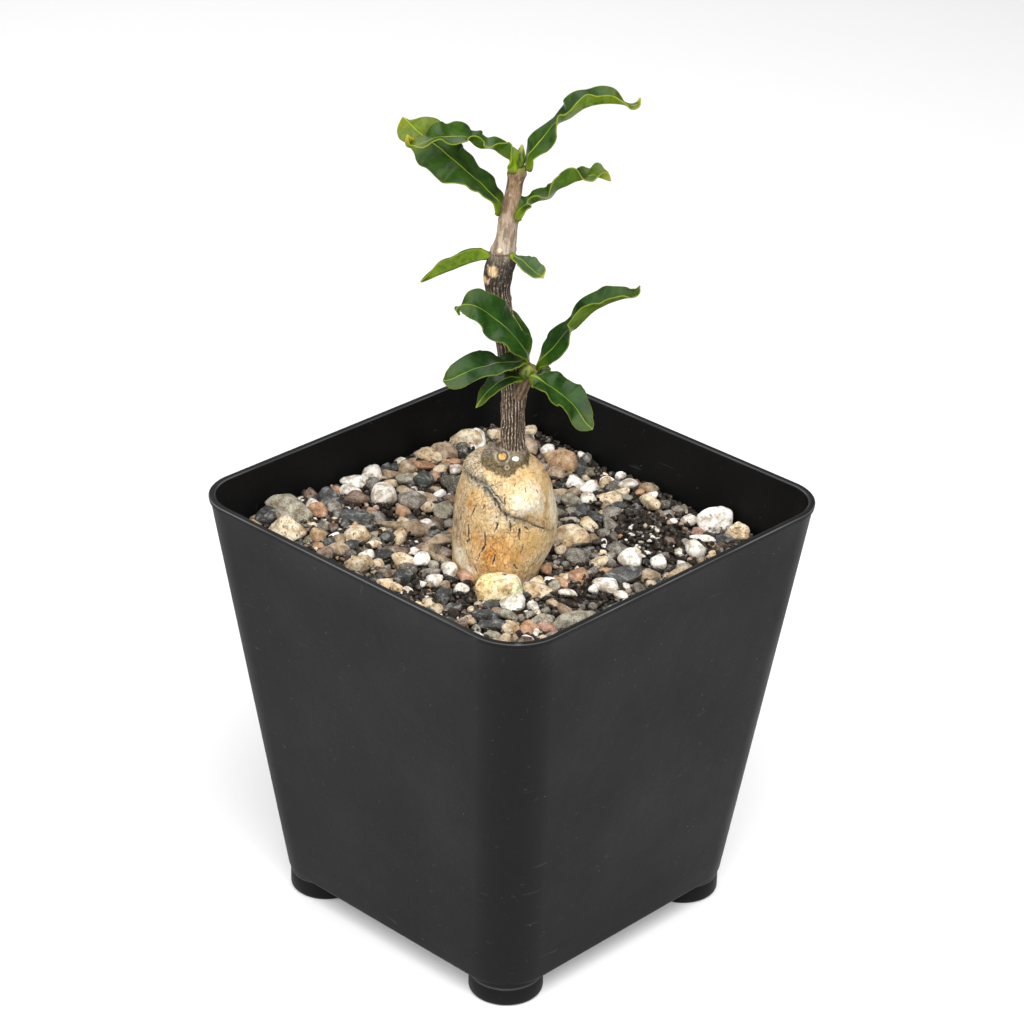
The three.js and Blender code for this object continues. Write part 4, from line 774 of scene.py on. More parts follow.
def pot_plastic():
    """Near-black moulded plastic: faint dust, short fine scuffs, and a rim worn lighter, its light lines
    along the rounded edges also a painted highlight.
    """
    f = Finish("pot_plastic", IOR=1.25)
    cloud = f.noise(26, detail=4)
    fine = f.noise(0.35, detail=2)
    dust = f.band(f.noise(0.9, detail=2), 0.66, 0.78)
    specks = f.band(f.cells(2.6), 0.07, 0.03) * f.band(f.noise(7, detail=1), 0.5, 0.62)
    scuff = f.band(f.noise(1.1, detail=1, stretch=(9, 9, 1), warp=0.8), 0.71, 0.76)
    scuff = scuff * f.band(f.noise(14, detail=2), 0.5, 0.66)
    thread = f.band(abs(f.noise(5, detail=2, warp=1.2) - 0.5), 0.012, 0.004)
    thread = thread * f.band(f.noise(2.4, detail=1), 0.64, 0.72)
    colour = f.layers(
        f.between(cloud, 0.3, 0.7, (0.002, 0.002, 0.0021), (0.0035, 0.0035, 0.0036)),
        (dust * 0.16, (0.06, 0.06, 0.06)),
        (specks * 0.45, (0.2, 0.19, 0.18)),
        (scuff * 0.25, (0.07, 0.07, 0.072)),
        (thread * 0.2, (0.08, 0.08, 0.08)),
        # The rim's lighter lines are partly wear and partly a painted highlight along its rounded edges.
        (f.value("worn") * 0.75, (0.13, 0.13, 0.135)))
    roughness = f.band(cloud + fine * 0.35, 0.3, 0.95, 0.44, 0.6)
    return f.done(colour, roughness, f.bump(fine, 0.02, f.bump(f.noise(3.5, detail=3), 0.05)))


def peat():
    """Damp dark peat: crumbs of black and brown, with a few pale fibres and white grains."""
    f = Finish("peat", IOR=1.35)
    crumb = f.noise(1.2, detail=6, roughness=0.7)
    fibre = f.band(f.noise(0.8, detail=3, stretch=(5, 1, 1), warp=2), 0.64, 0.72)
    grains = f.band(f.cells(1.9), 0.17, 0.1) * f.band(f.noise(3.0, detail=1), 0.56, 0.6)
    colour = f.layers(
        f.between(crumb, 0.35, 0.65, (0.006, 0.0042, 0.003), (0.045, 0.028, 0.017)),
        (fibre * 0.45, (0.14, 0.09, 0.05)),
        (grains, (0.6, 0.55, 0.47)))
    return f.done(colour, f.band(crumb, 0.2, 0.8, 0.95, 0.7), f.bump(crumb, 0.9))


def rock(name, speckle=0.4, pits=0.0, streaks=0.0, stain=0.0, gloss=0.75):
    """Stone in each pebble's own colour: clouded, with dark and pale grains, and darker low down, partly dust
    of peat and partly painted shade.

    Pits, darkened as painted shade in their hollows, pale streaks and yellow stains come on top by the given
    shares. gloss is the roughness."""
    f = Finish(name, IOR=1.45)
    cloud = f.noise(1.7, detail=5, roughness=0.62)
    grain = f.noise(0.3, detail=3, roughness=0.7)
    colour = f.layers(
        f.value("stone_colour", "Color"),
        (f.band(cloud, 0.56, 0.36), (0.52, 0.45, 0.37), "MULTIPLY"),
        (f.band(cloud, 0.52, 0.7) * 0.3, (0.7, 0.66, 0.6), "SCREEN"))
    if stain:
        patch = f.band(f.noise(2.6, detail=4), 0.5, 0.62) * stain
        colour = f.mix(patch, colour, (0.75, 0.5, 0.22), "MULTIPLY")
    if streaks:
        veins = f.band(f.noise(0.9, detail=3, stretch=(6, 6, 1), warp=1.4), 0.55, 0.64)
        colour = f.mix(veins * streaks, colour, (0.5, 0.48, 0.44))
    colour = f.layers(
        colour,
        (f.band(grain, 0.46, 0.36) * speckle, (0.16, 0.13, 0.1), "MULTIPLY"),
        (f.band(grain, 0.57, 0.68) * (0.7 * speckle), (0.72, 0.68, 0.6)))
    normal = f.bump(f.noise(0.5, detail=4, roughness=0.65), 0.25)
    if pits:
        # Pits are sunk by a bump and darkened: the dark colour is painted shade in them.
        hollow = f.band(f.noise(0.6, detail=1, warp=0.6), 0.64, 0.72)
        colour = f.mix(hollow * pits, colour, (0.09, 0.065, 0.045))
        normal = f.bump(hollow, -0.35, normal)
    # Each stone's lower part darkens towards peat colour: peat dust, and painted shade from the soil and
    # stones round it.
    low = f.value("low") + (f.noise(0.9, detail=4) - 0.5) * 1.3
    colour = f.mix(f.band(low, 0.58, 0.8, 0.0, 0.88), colour, (0.022, 0.015, 0.0095))
    return f.done(colour, f.band(cloud, 0.3, 0.7, gloss - 0.1, gloss + 0.12), normal)


def caudex_skin():
    """Corky tan skin: granular orange low on the front, a cream bulge, grey wrinkles and an olive crown."""
    f = Finish("caudex_skin", IOR=1.4)
    patch = f.noise(3.6, detail=4, roughness=0.6)
    fine = f.noise(0.5, detail=5, roughness=0.68)
    upright = f.noise(0.6, detail=4, roughness=0.65, stretch=(1, 1, 3.6), warp=0.8)
    ragged = f.noise(1.5, detail=5, roughness=0.65) - 0.5

    def area(name, low=0.1, high=0.95, rough=1.1):
        """The mesh's area of this name, with a ragged border."""
        return f.band(f.value(name) + ragged * rough, low, high)

    def hairs(size, width, warp=0.5):
        """Fine lines wandering where a noise passes through its middle value."""
        return f.band(abs(f.noise(size, detail=3, roughness=0.6, warp=warp) - 0.5), width, 0.3 * width)

    cream_area = area("cream", rough=0.8)
    cream = f.mix(
        f.band(f.noise(1.0, detail=5, roughness=0.7), 0.5, 0.62, 0.0, 0.55),
        f.between(patch, 0.4, 0.62, (0.88, 0.74, 0.46), (0.95, 0.9, 0.75)), (0.82, 0.6, 0.3))
    smooth = f.calc("MAXIMUM", cream_area * 0.75, f.value("yellow") * 0.7)
    plain = 1.0 - smooth
    net = f.band(f.cells(1.1, feature="DISTANCE_TO_EDGE", stretch=(1, 1, 2.2)), 0.1, 0.02)
    net = net * (plain * f.band(patch, 0.4, 0.6, 0.1, 0.5))
    hair = hairs(1.7, 0.018, 0.8)
    colour = f.layers(
        f.between(patch, 0.34, 0.66, (0.6, 0.38, 0.16), (0.86, 0.65, 0.36)),
        (area("grey"), f.between(upright, 0.36, 0.6, (0.38, 0.27, 0.16), (0.72, 0.57, 0.38))),
        (area("orange"), f.between(patch, 0.36, 0.64, (0.64, 0.33, 0.09), (0.88, 0.53, 0.21))),
        (area("rust", 0.2, 0.8), f.between(fine, 0.4, 0.56, (0.42, 0.15, 0.025), (0.72, 0.36, 0.1))),
        (area("yellow") * 0.9, (0.78, 0.52, 0.21)),
        (cream_area, cream),
        (area("lace", 0.3, 0.8), f.mix(hairs(1.1, 0.045), (0.68, 0.56, 0.38), (0.17, 0.13, 0.08))),
        (f.band(upright, 0.46, 0.36) * (plain * 0.5), (0.5, 0.36, 0.22), "MULTIPLY"),
        (net, (0.4, 0.27, 0.15), "MULTIPLY"),
        (hair * (plain * 0.55), (0.26, 0.17, 0.1), "MULTIPLY"),
        (f.band(fine, 0.36, 0.28) * 0.55, (0.42, 0.27, 0.14), "MULTIPLY"),
        (f.value("olive"), f.between(fine, 0.36, 0.66, (0.05, 0.036, 0.013), (0.215, 0.155, 0.075))),
        (f.value("collar"), f.between(upright, 0.4, 0.6, (0.12, 0.095, 0.07), (0.42, 0.35, 0.27))),
        (f.value("halo"), (0.5, 0.45, 0.34)),
        (f.value("outline"), (0.09, 0.06, 0.035)),
        (f.value("pale"), (0.88, 0.84, 0.74)),
        (f.value("scar"), f.between(fine, 0.4, 0.6, (0.7, 0.34, 0.08), (0.84, 0.5, 0.18))),
        (f.value("seam") * f.band(fine, 0.36, 0.6, 0.95, 0.4),
         f.between(upright, 0.4, 0.6, (0.08, 0.086, 0.08), (0.33, 0.33, 0.28))),
        # Pale rims beside the cracks: a painted highlight.
        (f.value("flaked") * f.band(fine, 0.42, 0.56, 0.0, 0.5), (0.93, 0.8, 0.56)),
        (f.value("fold") * f.band(fine, 0.42, 0.6, 1.0, 0.35), (0.05, 0.055, 0.05)),
        (f.value("crack"), (0.022, 0.014, 0.009)))
    normal = f.bump(fine, 0.2, f.bump(upright, 0.22, f.bump(patch, 0.5)))
    normal = f.bump(net, -0.08, f.bump(hair, -0.1, normal))
    return f.done(colour, f.band(patch, 0.3, 0.7, 0.6, 0.8), normal)


def bark():
    """Grey-brown bark: a net of pale ridges and dark grooves low down, smoother and mottled higher up."""
    f = Finish("bark", IOR=1.35)
    old = f.value("old")
    grain = f.noise(0.45, detail=5, roughness=0.65, stretch=(1, 1, 3.5))
    blotch = f.noise(2.0, detail=5, roughness=0.66)
    streak = f.noise(1.0, detail=4, roughness=0.6, stretch=(1, 1, 4))
    beads = f.noise(0.32, detail=3, roughness=0.6, stretch=(1, 1, 1.5))
    flecks = f.band(f.noise(0.6, detail=3, roughness=0.6, stretch=(1, 1, 1.6)), 0.6, 0.68)
    net = f.cells(0.62, feature="DISTANCE_TO_EDGE", stretch=(1, 1, 2.4))
    grooves = f.calc("MAXIMUM", f.value("groove"), f.band(net, 0.12, 0.03) * (old * 0.5))
    ridge = f.layers(
        f.between(blotch, 0.32, 0.66, (0.075, 0.05, 0.033), (0.2, 0.145, 0.1)),
        (f.value("crest") * f.band(beads, 0.45, 0.54, 0.05, 1.0), (0.64, 0.53, 0.4)))
    young = f.layers(
        f.between(streak, 0.38, 0.6, (0.2, 0.145, 0.1), (0.43, 0.35, 0.265)),
        (f.band(blotch, 0.42, 0.34) * 0.6, (0.11, 0.075, 0.05)),
        (f.value("brown"), (0.62, 0.5, 0.38), "MULTIPLY"))
    colour = f.layers(
        f.mix(old, young, ridge),
        (f.value("swelling") * f.band(blotch, 0.78, 0.5), (0.03, 0.026, 0.02)),
        (grooves * 0.93, (0.034, 0.018, 0.011)),
        (f.band(grain, 0.5, 0.36) * (old * 0.6), (0.25, 0.17, 0.12), "MULTIPLY"),
        (flecks * 0.4, (0.6, 0.52, 0.42)),
        (f.value("tan_scar"), f.between(grain, 0.4, 0.6, (0.5, 0.3, 0.13), (0.8, 0.62, 0.4))),
        (f.value("green"), (0.16, 0.17, 0.035)))
    return f.done(colour, 0.78, f.bump(grooves, -0.12, f.bump(grain, 0.12, f.bump(blotch, 0.15))))


def leaf_skin():
    """A glossy leaf: dark green above, yellow-green below, with a pale rib, faint veins and a pale edge."""
    f = Finish("leaf_skin", IOR=1.45, Specular_IOR_Level=0.2)
    upper, young, share, reach = (f.value(name) for name in ("upper", "young", "share", "reach"))
    cloud = f.noise(3.4, detail=3)
    mottle = f.noise(1.3, detail=4, roughness=0.6)
    top = f.layers(
        f.between(cloud, 0.32, 0.7, (0.006, 0.024, 0.003), (0.014, 0.052, 0.005)),
        (young * f.band(cloud, 0.32, 0.68, 0.3, 0.9), (0.055, 0.11, 0.006)))
    below = f.layers(
        f.between(cloud, 0.3, 0.7, (0.02, 0.055, 0.002), (0.035, 0.085, 0.003)),
        # The lower face's paleness, set leaf by leaf, paints the light and shade on it.
        (f.value("painted_light_below"), f.between(mottle, 0.35, 0.65, (0.062, 0.115, 0.003), (0.11, 0.165, 0.006))))
    slope = f.value("along") - reach * 1.1 + cloud * 1.6
    wave = f.calc("FRACT", f.calc("DIVIDE", slope, 1.9))
    vein = f.band(abs(wave - 0.5), 0.07, 0.015)
    rib = f.band(reach - f.band(share, 0.35, 0.05, 0.0, 0.12), 0.15, 0.07)
    edge = f.band(f.value("margin"), 0.11, 0.03)
    dots = f.band(f.cells(2.6), 0.045, 0.025) * f.band(f.noise(4, detail=1), 0.52, 0.6)
    colour = f.layers(
        f.mix(upper, below, top),
        (f.band(mottle, 0.5, 0.34) * 0.4, (0.5, 0.62, 0.4), "MULTIPLY"),
        # Pale grey-blue green over the leaf: partly its own tint, partly a painted sheen.
        (f.value("blue_sheen"), (0.075, 0.125, 0.06)),
        (f.band(share, 0.68, 0.86) * f.value("pale_tip"),
         f.between(mottle, 0.35, 0.65, (0.12, 0.175, 0.004), (0.21, 0.25, 0.006))),
        (f.band(share, 0.9, 1.0) * f.band(young, 0.3, 0.6), (0.42, 0.31, 0.02)),
        (vein * 0.12, (0.08, 0.15, 0.02)),
        (rib * f.mix(upper, (0.35, 0.35, 0.35), (0.85, 0.85, 0.85)),
         f.between(young, 0.05, 0.45, (0.19, 0.26, 0.035), (0.32, 0.4, 0.03))),
        (edge * (0.27 + young * 0.2), (0.34, 0.36, 0.03)),
        (f.band(share, 0.15, 0.07) * (0.1 + young * 1.2), (0.15, 0.23, 0.006)),
        (f.band(share, 0.035, 0.0) * 0.75, (0.07, 0.045, 0.01)),
        (dots * 0.5, (0.35, 0.4, 0.22)))
    normal = f.bump(rib, -0.07, f.bump(vein, -0.012, f.bump(cloud, 0.14)))
    return f.done(colour, f.band(cloud, 0.3, 0.7, 0.3, 0.42), normal)


def bud_skin():
    """Pale yellow-green bud scales with brown tips."""
    f = Finish("bud_skin", IOR=1.4)
    lines = f.noise(0.5, detail=3, stretch=(1, 1, 2.5))
    colour = f.layers(
        f.between(lines, 0.36, 0.64, (0.028, 0.056, 0.004), (0.105, 0.15, 0.012)),
        (f.band(f.value("share"), 0.6, 1.0, 0.0, 0.85), (0.34, 0.34, 0.07)))
    return f.done(colour, f.band(lines, 0.3, 0.7, 0.4, 0.55), f.bump(lines, 0.15))


# The pot

def pot_ring(z, inset, steps=CORNER_STEPS, spans=9):
    """A level square ring with round corners on the pot's outer face at height z, moved in by inset."""
    share = (z - FOOT_HEIGHT) / (POT_HEIGHT - FOOT_HEIGHT)
    half = POT_FLOOR_HALF + share * (POT_TOP_HALF - LIP_PROUD - POT_FLOOR_HALF) - inset
    corner = POT_FLOOR_CORNER + share * (POT_TOP_CORNER - POT_FLOOR_CORNER) - inset
    turn = np.linspace(0, np.pi / 2, steps)
    arc = np.stack([half - corner + corner * np.cos(turn), half - corner + corner * np.sin(turn),
                    np.full(steps, float(z))], axis=-1)
    straight = [(half, y, z) for y in np.linspace(corner - half, half - corner, spans + 1)[:-1]]
    quarter = np.vstack([straight, arc[:-1]])
    return np.vstack([turned(quarter, k * np.pi / 2) for k in range(4)])


def rim_rounding(z, inset, radius, start, end, steps=6):
    """Height and inset along a rounded edge: an arc of this radius about a middle given by z and inset."""
    turn = np.radians(np.linspace(start, end, steps))
    return [(z + radius * math.sin(a), inset - radius * math.cos(a)) for a in turn]


def make_pot(finish):
    """The moulding: a profile of heights and insets, carried round the rounded square and closed."""
    outer_edge = rim_rounding(FOOT_HEIGHT + EDGE_RADIUS, EDGE_RADIUS, EDGE_RADIUS, -90, 0, 8)
    lip = [(98.55, 0), (98.75, -0.05), (98.85, -LIP_PROUD)]
    rim_middle = POT_HEIGHT - RIM_RADIUS
    rim = rim_rounding(rim_middle, RIM_RADIUS - LIP_PROUD, RIM_RADIUS, 0, 90)
    inner_rim = rim_rounding(rim_middle, POT_WALL - RIM_RADIUS, RIM_RADIUS, 90, 180)
    floor = FOOT_HEIGHT + POT_WALL
    inside = [(99, POT_WALL), (96, POT_WALL), (60, POT_WALL), (floor + 2, POT_WALL),
              (floor + 0.4, POT_WALL + 0.4), (floor, POT_WALL + 2)]
    outer_wall = [(z, 0) for z in (12, 30, 50, 70, 90)]
    profile = outer_edge + outer_wall + lip + rim + inner_rim + inside
    walls = np.stack([pot_ring(z, inset) for z, inset in profile])
    under = [walls[0] * np.array([share, share, 1]) for share in (0.05, 0.3, 0.65)]
    over = [walls[-1] * np.array([share, share, 1]) for share in (0.65, 0.3, 0.05)]
    rings = np.stack([*under, *walls, *over])
    heights = rings[..., 2]
    outside = np.array([inset < 0.4 for _, inset in profile])
    outside = np.concatenate([np.zeros(3), outside, np.zeros(3)])[:, None]
    first = 3 + len(outer_edge) + len(outer_wall) + len(lip)
    # A lighter line along the rim's outer and inner rounding: partly wear, partly a painted highlight.
    wear_and_sheen_rings = first + np.array([1, 2, 3, 4, 7, 8, 9, 10])
    line = np.interp(np.arange(len(rings)), wear_and_sheen_rings, [0, 1, 1, 0, 0, 0.7, 0.7, 0])[:, None]
    worn = line * (0.5 + 0.5 * eased(noise(rings, 5.0, 3, 2), -0.5, 0.5))
    nicks = outside * eased(noise(rings, (2.2, 2.2, 1.0), 5, 2), 0.75, 0.95) * eased(heights, 97.5, 99)
    worn = np.clip(worn + 0.5 * nicks, 0, 1)
    shape = Shape()
    add_tube(shape, rings, worn=worn)
    for sx in (-1, 1):
        for sy in (-1, 1):
            add_foot(shape, sx * FOOT_AT, sy * FOOT_AT)
    shape.piece("pot_body", finish, "pot_plastic", ["pot"], sharp=50)


def add_foot(shape, x, y):
    """A foot turned about its own axis: flat under, rounded at the lower edge, with a groove near the top."""
    rounding = FOOT_ROUNDING
    lower_edge = [(rounding + rounding * math.sin(a), FOOT_RADIUS - rounding + rounding * math.cos(a))
                  for a in np.radians(np.linspace(-90, 0, 7))]
    groove, top = FOOT_RADIUS - FOOT_GROOVE, FOOT_HEIGHT + FOOT_SUNK
    profile = [(0, 0.01), (0, 3), *lower_edge, (4.3, FOOT_RADIUS), (4.5, groove), (4.7, groove),
               (4.85, FOOT_RADIUS), (top, FOOT_RADIUS), (top, 0.01)]
    turn = np.linspace(0, 2 * np.pi, FOOT_SIDES, endpoint=False)
    rings = np.stack([np.stack([x + r * np.cos(turn), y + r * np.sin(turn), np.full_like(turn, z)], axis=-1)
                      for z, r in profile])
    worn = np.zeros(rings.shape[:2])
    worn[[k for k, (z, _) in enumerate(profile) if 4.4 < z < 4.8]] = 0.5
    add_tube(shape, rings, worn=worn)


# Soil and gravel

def soil_top(x, y):
    """The soil's level: a plane that falls a little along x and y."""
    return SOIL_LEVEL - SOIL_FALL[0] * x - SOIL_FALL[1] * y


def soil_lumps(points):
    """How far loose soil stands above its level: lumps, clods and crumbs of noise, and round heaps of peat.

    A heap is its height times exp(-2 (away / radius) ** 2)."""
    flat = points * np.array([1, 1, 0])
    heaps = 0
    for x, y, radius, height in BARE_PATCHES:
        away = (points[..., 0] - x) ** 2 + (points[..., 1] - y) ** 2
        heaps = heaps + height * np.exp(-away / (0.5 * radius**2))
    return heaps + 0.7 * noise(flat, 11, 21) + 0.5 * noise(flat, 3.2, 22, 2) + 0.4 * noise(flat, 1.1, 23, 2)


def make_soil(finish):
    """Soil filling the pot: rings shrink from the wall to the middle, over the top and under the bottom."""
    gap = POT_WALL + SOIL_GAP
    corner_steps, spans = 14, 44
    edge = pot_ring(SOIL_EDGE, gap, corner_steps, spans)
    shares = np.linspace(1, 0.01, SOIL_RINGS) ** 0.9
    top = edge[None] * np.stack([shares, shares, np.ones_like(shares)], axis=-1)[:, None]
    top[..., 2] = soil_top(top[..., 0], top[..., 1]) + soil_lumps(top) - PEAT_BELOW
    low = FOOT_HEIGHT + gap
    sides = np.stack([pot_ring(z, gap, corner_steps, spans) for z in (low, 30, 60, 80)])
    base = sides[:1] * np.array([0.1, 0.1, 1])
    shape = Shape()
    add_tube(shape, np.concatenate([base, sides, top]))
    shape.piece("peat_body", finish, "grit_soil", ["soil_mix"])


def ball_directions(rows, columns):
    """Directions over a ball: rings of latitude between two poles, and the faces that join them."""
    latitude = np.linspace(-np.pi / 2, np.pi / 2, rows + 1)[1:-1]
    longitude = np.linspace(0, 2 * np.pi, columns, endpoint=False)
    wide = np.cos(latitude)[:, None]
    height = np.repeat(np.sin(latitude)[:, None], columns, axis=1)
    rings = np.stack([wide * np.cos(longitude), wide * np.sin(longitude), height], axis=-1)
    directions = np.vstack([rings.reshape(-1, 3), (0, 0, -1), (0, 0, 1)])
    return directions, grid_faces(rows - 1, columns, ring=True), end_fans(rows - 1, columns)


def stone_surfaces(middles, sizes, turns, forms, random, rows, columns, facets=11, tilt=0.35, boxy=False):
    """Stones as balls cut by flat facets: in each direction the surface lies where the nearest facet is met.

    With facet normals n and distances d, the reach along u is (sum of (n.u / d) ** h) ** (-1 / h) over the
    facets that face u, which rounds the edges more as h falls. A boxy stone has the six sides of a box, and
    its reach is (|x| ** 4 + |y| ** 4 + |z| ** 4) ** (-1 / 4). Noise makes it lumpy, and each ball is then
    stretched, tilted, turned and moved to its middle."""
    directions, quads, triangles = ball_directions(rows, columns)
    count = len(middles)
    hardness, lumps = forms[:, :1], forms[:, 1:2]
    k = np.arange(facets) + 0.5
    rise, round_turn = np.arccos(1 - 2 * k / facets), np.pi * (1 + 5**0.5) * k
    wide = np.sin(rise)
    even = np.stack([np.cos(round_turn) * wide, np.sin(round_turn) * wide, np.cos(rise)], axis=-1)
    normals = unit(even[None] + 0.42 * random.normal(size=(count, facets, 3)))
    distances = random.uniform(0.72, 1.02, size=(count, facets))
    facing = np.maximum(np.einsum("nfk,dk->nfd", normals, directions), 1e-3)
    reach = np.sum((facing / distances[..., None]) ** hardness[..., None], axis=1) ** (-1 / hardness)
    if boxy:
        reach = np.repeat(np.sum(np.abs(directions) ** 4, axis=1)[None] ** (-1 / 4), count, axis=0)
    own_place = random.uniform(0, 90, size=(count, 1, 3))
    reach = np.minimum(reach, 1.3) * (1 + lumps * noise(directions[None] + own_place, 0.8, 31, 2))
    balls = directions[None] * reach[..., None] * (np.asarray(sizes, float)[:, None] / 2)
    lean, heading = random.uniform(-tilt, tilt, count), np.radians(turns)
    c, s = np.cos(lean)[:, None], np.sin(lean)[:, None]
    x, y, z = balls[..., 0], c * balls[..., 1] - s * balls[..., 2], s * balls[..., 1] + c * balls[..., 2]
    c, s = np.cos(heading)[:, None], np.sin(heading)[:, None]
    placed = np.stack([c * x - s * y, s * x + c * y, z], axis=-1) + np.asarray(middles, float)[:, None]
    return placed, quads, triangles


def add_stones(shape, middles, sizes, turns, kinds, random, rows, columns, **form):
    """Stones of given kinds, each in a colour between its kind's two, with how low each point lies on it."""
    middles, sizes = np.asarray(middles, float), np.asarray(sizes, float)
    count = len(kinds)
    forms = np.array([KIND_FORMS[kind] for kind in kinds], float) * random.uniform(0.65, 1.4, size=(count, 2))
    placed, quads, triangles = stone_surfaces(middles, sizes, turns, forms, random, rows, columns, **form)
    each = placed.shape[1]
    steps = (np.arange(count) * each)[:, None, None]
    pairs = np.array([KIND_COLOURS[kind] for kind in kinds])
    share = random.uniform(0.6 if count == 1 else 0, 1, count)[:, None]
    colours = (1 - share) * pairs[:, 0] + share * pairs[:, 1]
    # low runs from a stone's top to its bottom and drives the darkening there: peat dust and painted shade.
    low = 0.5 - (placed[..., 2] - middles[:, 2:3]) / sizes[:, 2:3]
    shape.add(placed, (quads + steps).reshape(-1, 4), (triangles + steps).reshape(-1, 3),
              stone_colour=np.repeat(colours, each, axis=0), low=low)


def scattered(spacing, shift, random):
    """Spots of a hexagonal grid over the pot's top, each moved a little at random."""
    steps = int(GRID_HALF / spacing) + 1
    i, j = np.meshgrid(np.arange(-steps, steps + 1), np.arange(-steps, steps + 1), indexing="ij")
    x = (i + 0.5 * (np.abs(j) % 2)) * spacing + shift * random.uniform(-1, 1, i.shape)
    y = 0.866 * j * spacing + shift * random.uniform(-1, 1, i.shape)
    return np.stack([x.ravel(), y.ravel()], axis=-1)


def inside_pot(spots, clear):
    """Which spots lie inside the pot's wall, and clear of it, at the soil's level."""
    half = GRAVEL_HALF - clear
    beyond = np.maximum(np.abs(spots) - (half - GRAVEL_CORNER)[:, None], 0)
    return (np.abs(spots).max(axis=1) < half) & (np.hypot(beyond[:, 0], beyond[:, 1]) < GRAVEL_CORNER)


def caudex_clear(spots, clear):
    """Which spots lie clear of the caudex where it leaves the soil."""
    x, y, _, radius = CAUDEX[CAUDEX_SOIL_ROW]
    hill = turned(np.array([float(x), float(y), 0.0]), PLANT_TURN)[:2]
    return np.hypot(*(spots - hill).T) > radius + clear


def make_gravel(finishes):
    """All loose gravel: the known pebbles, smaller stones where there is room, white flakes and fine grit."""
    random = np.random.default_rng(GRAVEL_SEED)
    shapes = {name: Shape() for name in finishes}
    bare = np.array(BARE_PATCHES)

    def place(spots, lengths, widths, heights, turns, kinds, lift, rows, columns, **form):
        """Adds stones at the soil's level, each raised by its height times the lift, clear of the wall."""
        kinds = np.array(kinds)
        reach = (STONE_HALF - 0.58 * np.maximum(lengths, widths))[:, None]
        spots = np.clip(spots, -reach, reach)
        levels = soil_top(spots[:, 0], spots[:, 1]) + soil_lumps(np.c_[spots, np.zeros(len(spots))])
        middles = np.c_[spots, levels + lift * heights]
        sizes = np.c_[lengths, widths, heights]
        for name, group in FINISH_KINDS.items():
            chosen = np.isin(kinds, group)
            if chosen.any():
                add_stones(shapes[name], middles[chosen], sizes[chosen], turns[chosen], kinds[chosen], random,
                           rows, columns, **form)

    def is_bare(spots):
        """Which spots lie on a bare patch of peat."""
        away = np.linalg.norm(spots[:, None] - bare[None, :, :2], axis=-1)
        return (away < bare[:, 2]).any(axis=1)

    def kinds_for(count, stony):
        """Kinds drawn by their shares, which sum to stony, and peat for the rest."""
        return random.choice([*KINDS, "peat"], count, p=[*(stony * np.array(KIND_SHARES)), 1 - stony])

    known_kinds = [kind for kind, rows in PEBBLES.items() for _ in rows]
    known = np.array([(*row, 45)[:5] for rows in PEBBLES.values() for row in rows], float)
    lengths, widths = PEBBLE_GROWTH * known[:, 2], PEBBLE_GROWTH * known[:, 3]
    heights = 0.8 * np.minimum(lengths, widths) * random.uniform(0.9, 1.1, len(known))
    place(known[:, :2], lengths, widths, heights, known[:, 4], known_kinds, 0.24, *PEBBLE_GRID)
    taken = [(*middle[:2], STONE_CLEAR * size[0]) for middle, size, _, _ in STONES.values()]
    taken += [(x, y, PEBBLE_CLEAR * (length + width)) for x, y, length, width, _ in known]

    for spacing, shift, low, high, stony, rows, columns in GRAVEL_LAYERS:
        spots = scattered(spacing, shift, random)
        lengths = random.uniform(low, high, len(spots))
        keep = inside_pot(spots, 0.45 * lengths) & caudex_clear(spots, 0.3 * lengths)
        keep &= ~(is_bare(spots) & (random.uniform(size=len(spots)) < 0.96))
        circles = np.array(taken)
        away = np.hypot(spots[:, None, 0] - circles[None, :, 0], spots[:, None, 1] - circles[None, :, 1])
        keep &= (away > circles[None, :, 2] + PEBBLE_CLEAR * lengths[:, None]).all(axis=1)
        keep &= ~((spots.sum(axis=1) > 12) & (random.uniform(size=len(spots)) < 0.42))
        spots, lengths = spots[keep], lengths[keep]
        count = len(spots)
        widths = lengths * random.uniform(0.6, 0.95, count)
        heights = widths * random.uniform(0.6, 0.95, count)
        kinds = kinds_for(count, stony)
        place(spots, lengths, widths, heights, random.uniform(0, 180, count), kinds, 0.12, rows, columns)
        taken += [(x, y, STONE_CLEAR * length) for (x, y), length in zip(spots, lengths)]

    x, y, radius, count = PERLITE
    spots = np.array([x, y]) + radius * random.uniform(-1, 1, size=(count, 2))
    lengths = random.uniform(*GRIT_LENGTHS, count)
    turns = random.uniform(0, 180, count)
    place(spots, lengths, 0.7 * lengths, 0.6 * lengths, turns, ["flake"] * count, 0.45, *FLAKE_GRID)

    spacing, shift, stony = GRIT
    spots = scattered(spacing, shift, random)
    spots = spots[inside_pot(spots, np.full(len(spots), 0.8)) & caudex_clear(spots, 0.5)]
    count = len(spots)
    lengths = random.uniform(*GRIT_LENGTHS, count)
    kinds = kinds_for(count, stony)
    peaty = (spots.sum(axis=1) > 0) & (random.uniform(size=count) < 0.6)
    peaty = peaty | (is_bare(spots) & (random.uniform(size=count) < 0.9))
    kinds = np.where(peaty, "peat", kinds)
    lengths = np.where(kinds == "peat", 1.15, 0.9) * lengths
    turns = random.uniform(0, 180, count)
    place(spots, lengths, 0.8 * lengths, 0.7 * lengths, turns, kinds, 0.3, *GRIT_GRID, facets=7)
    for name, shape in shapes.items():
        shape.piece(f"gravel_{name}", finishes[name], "grit_soil", ["soil_mix"], sharp=55)


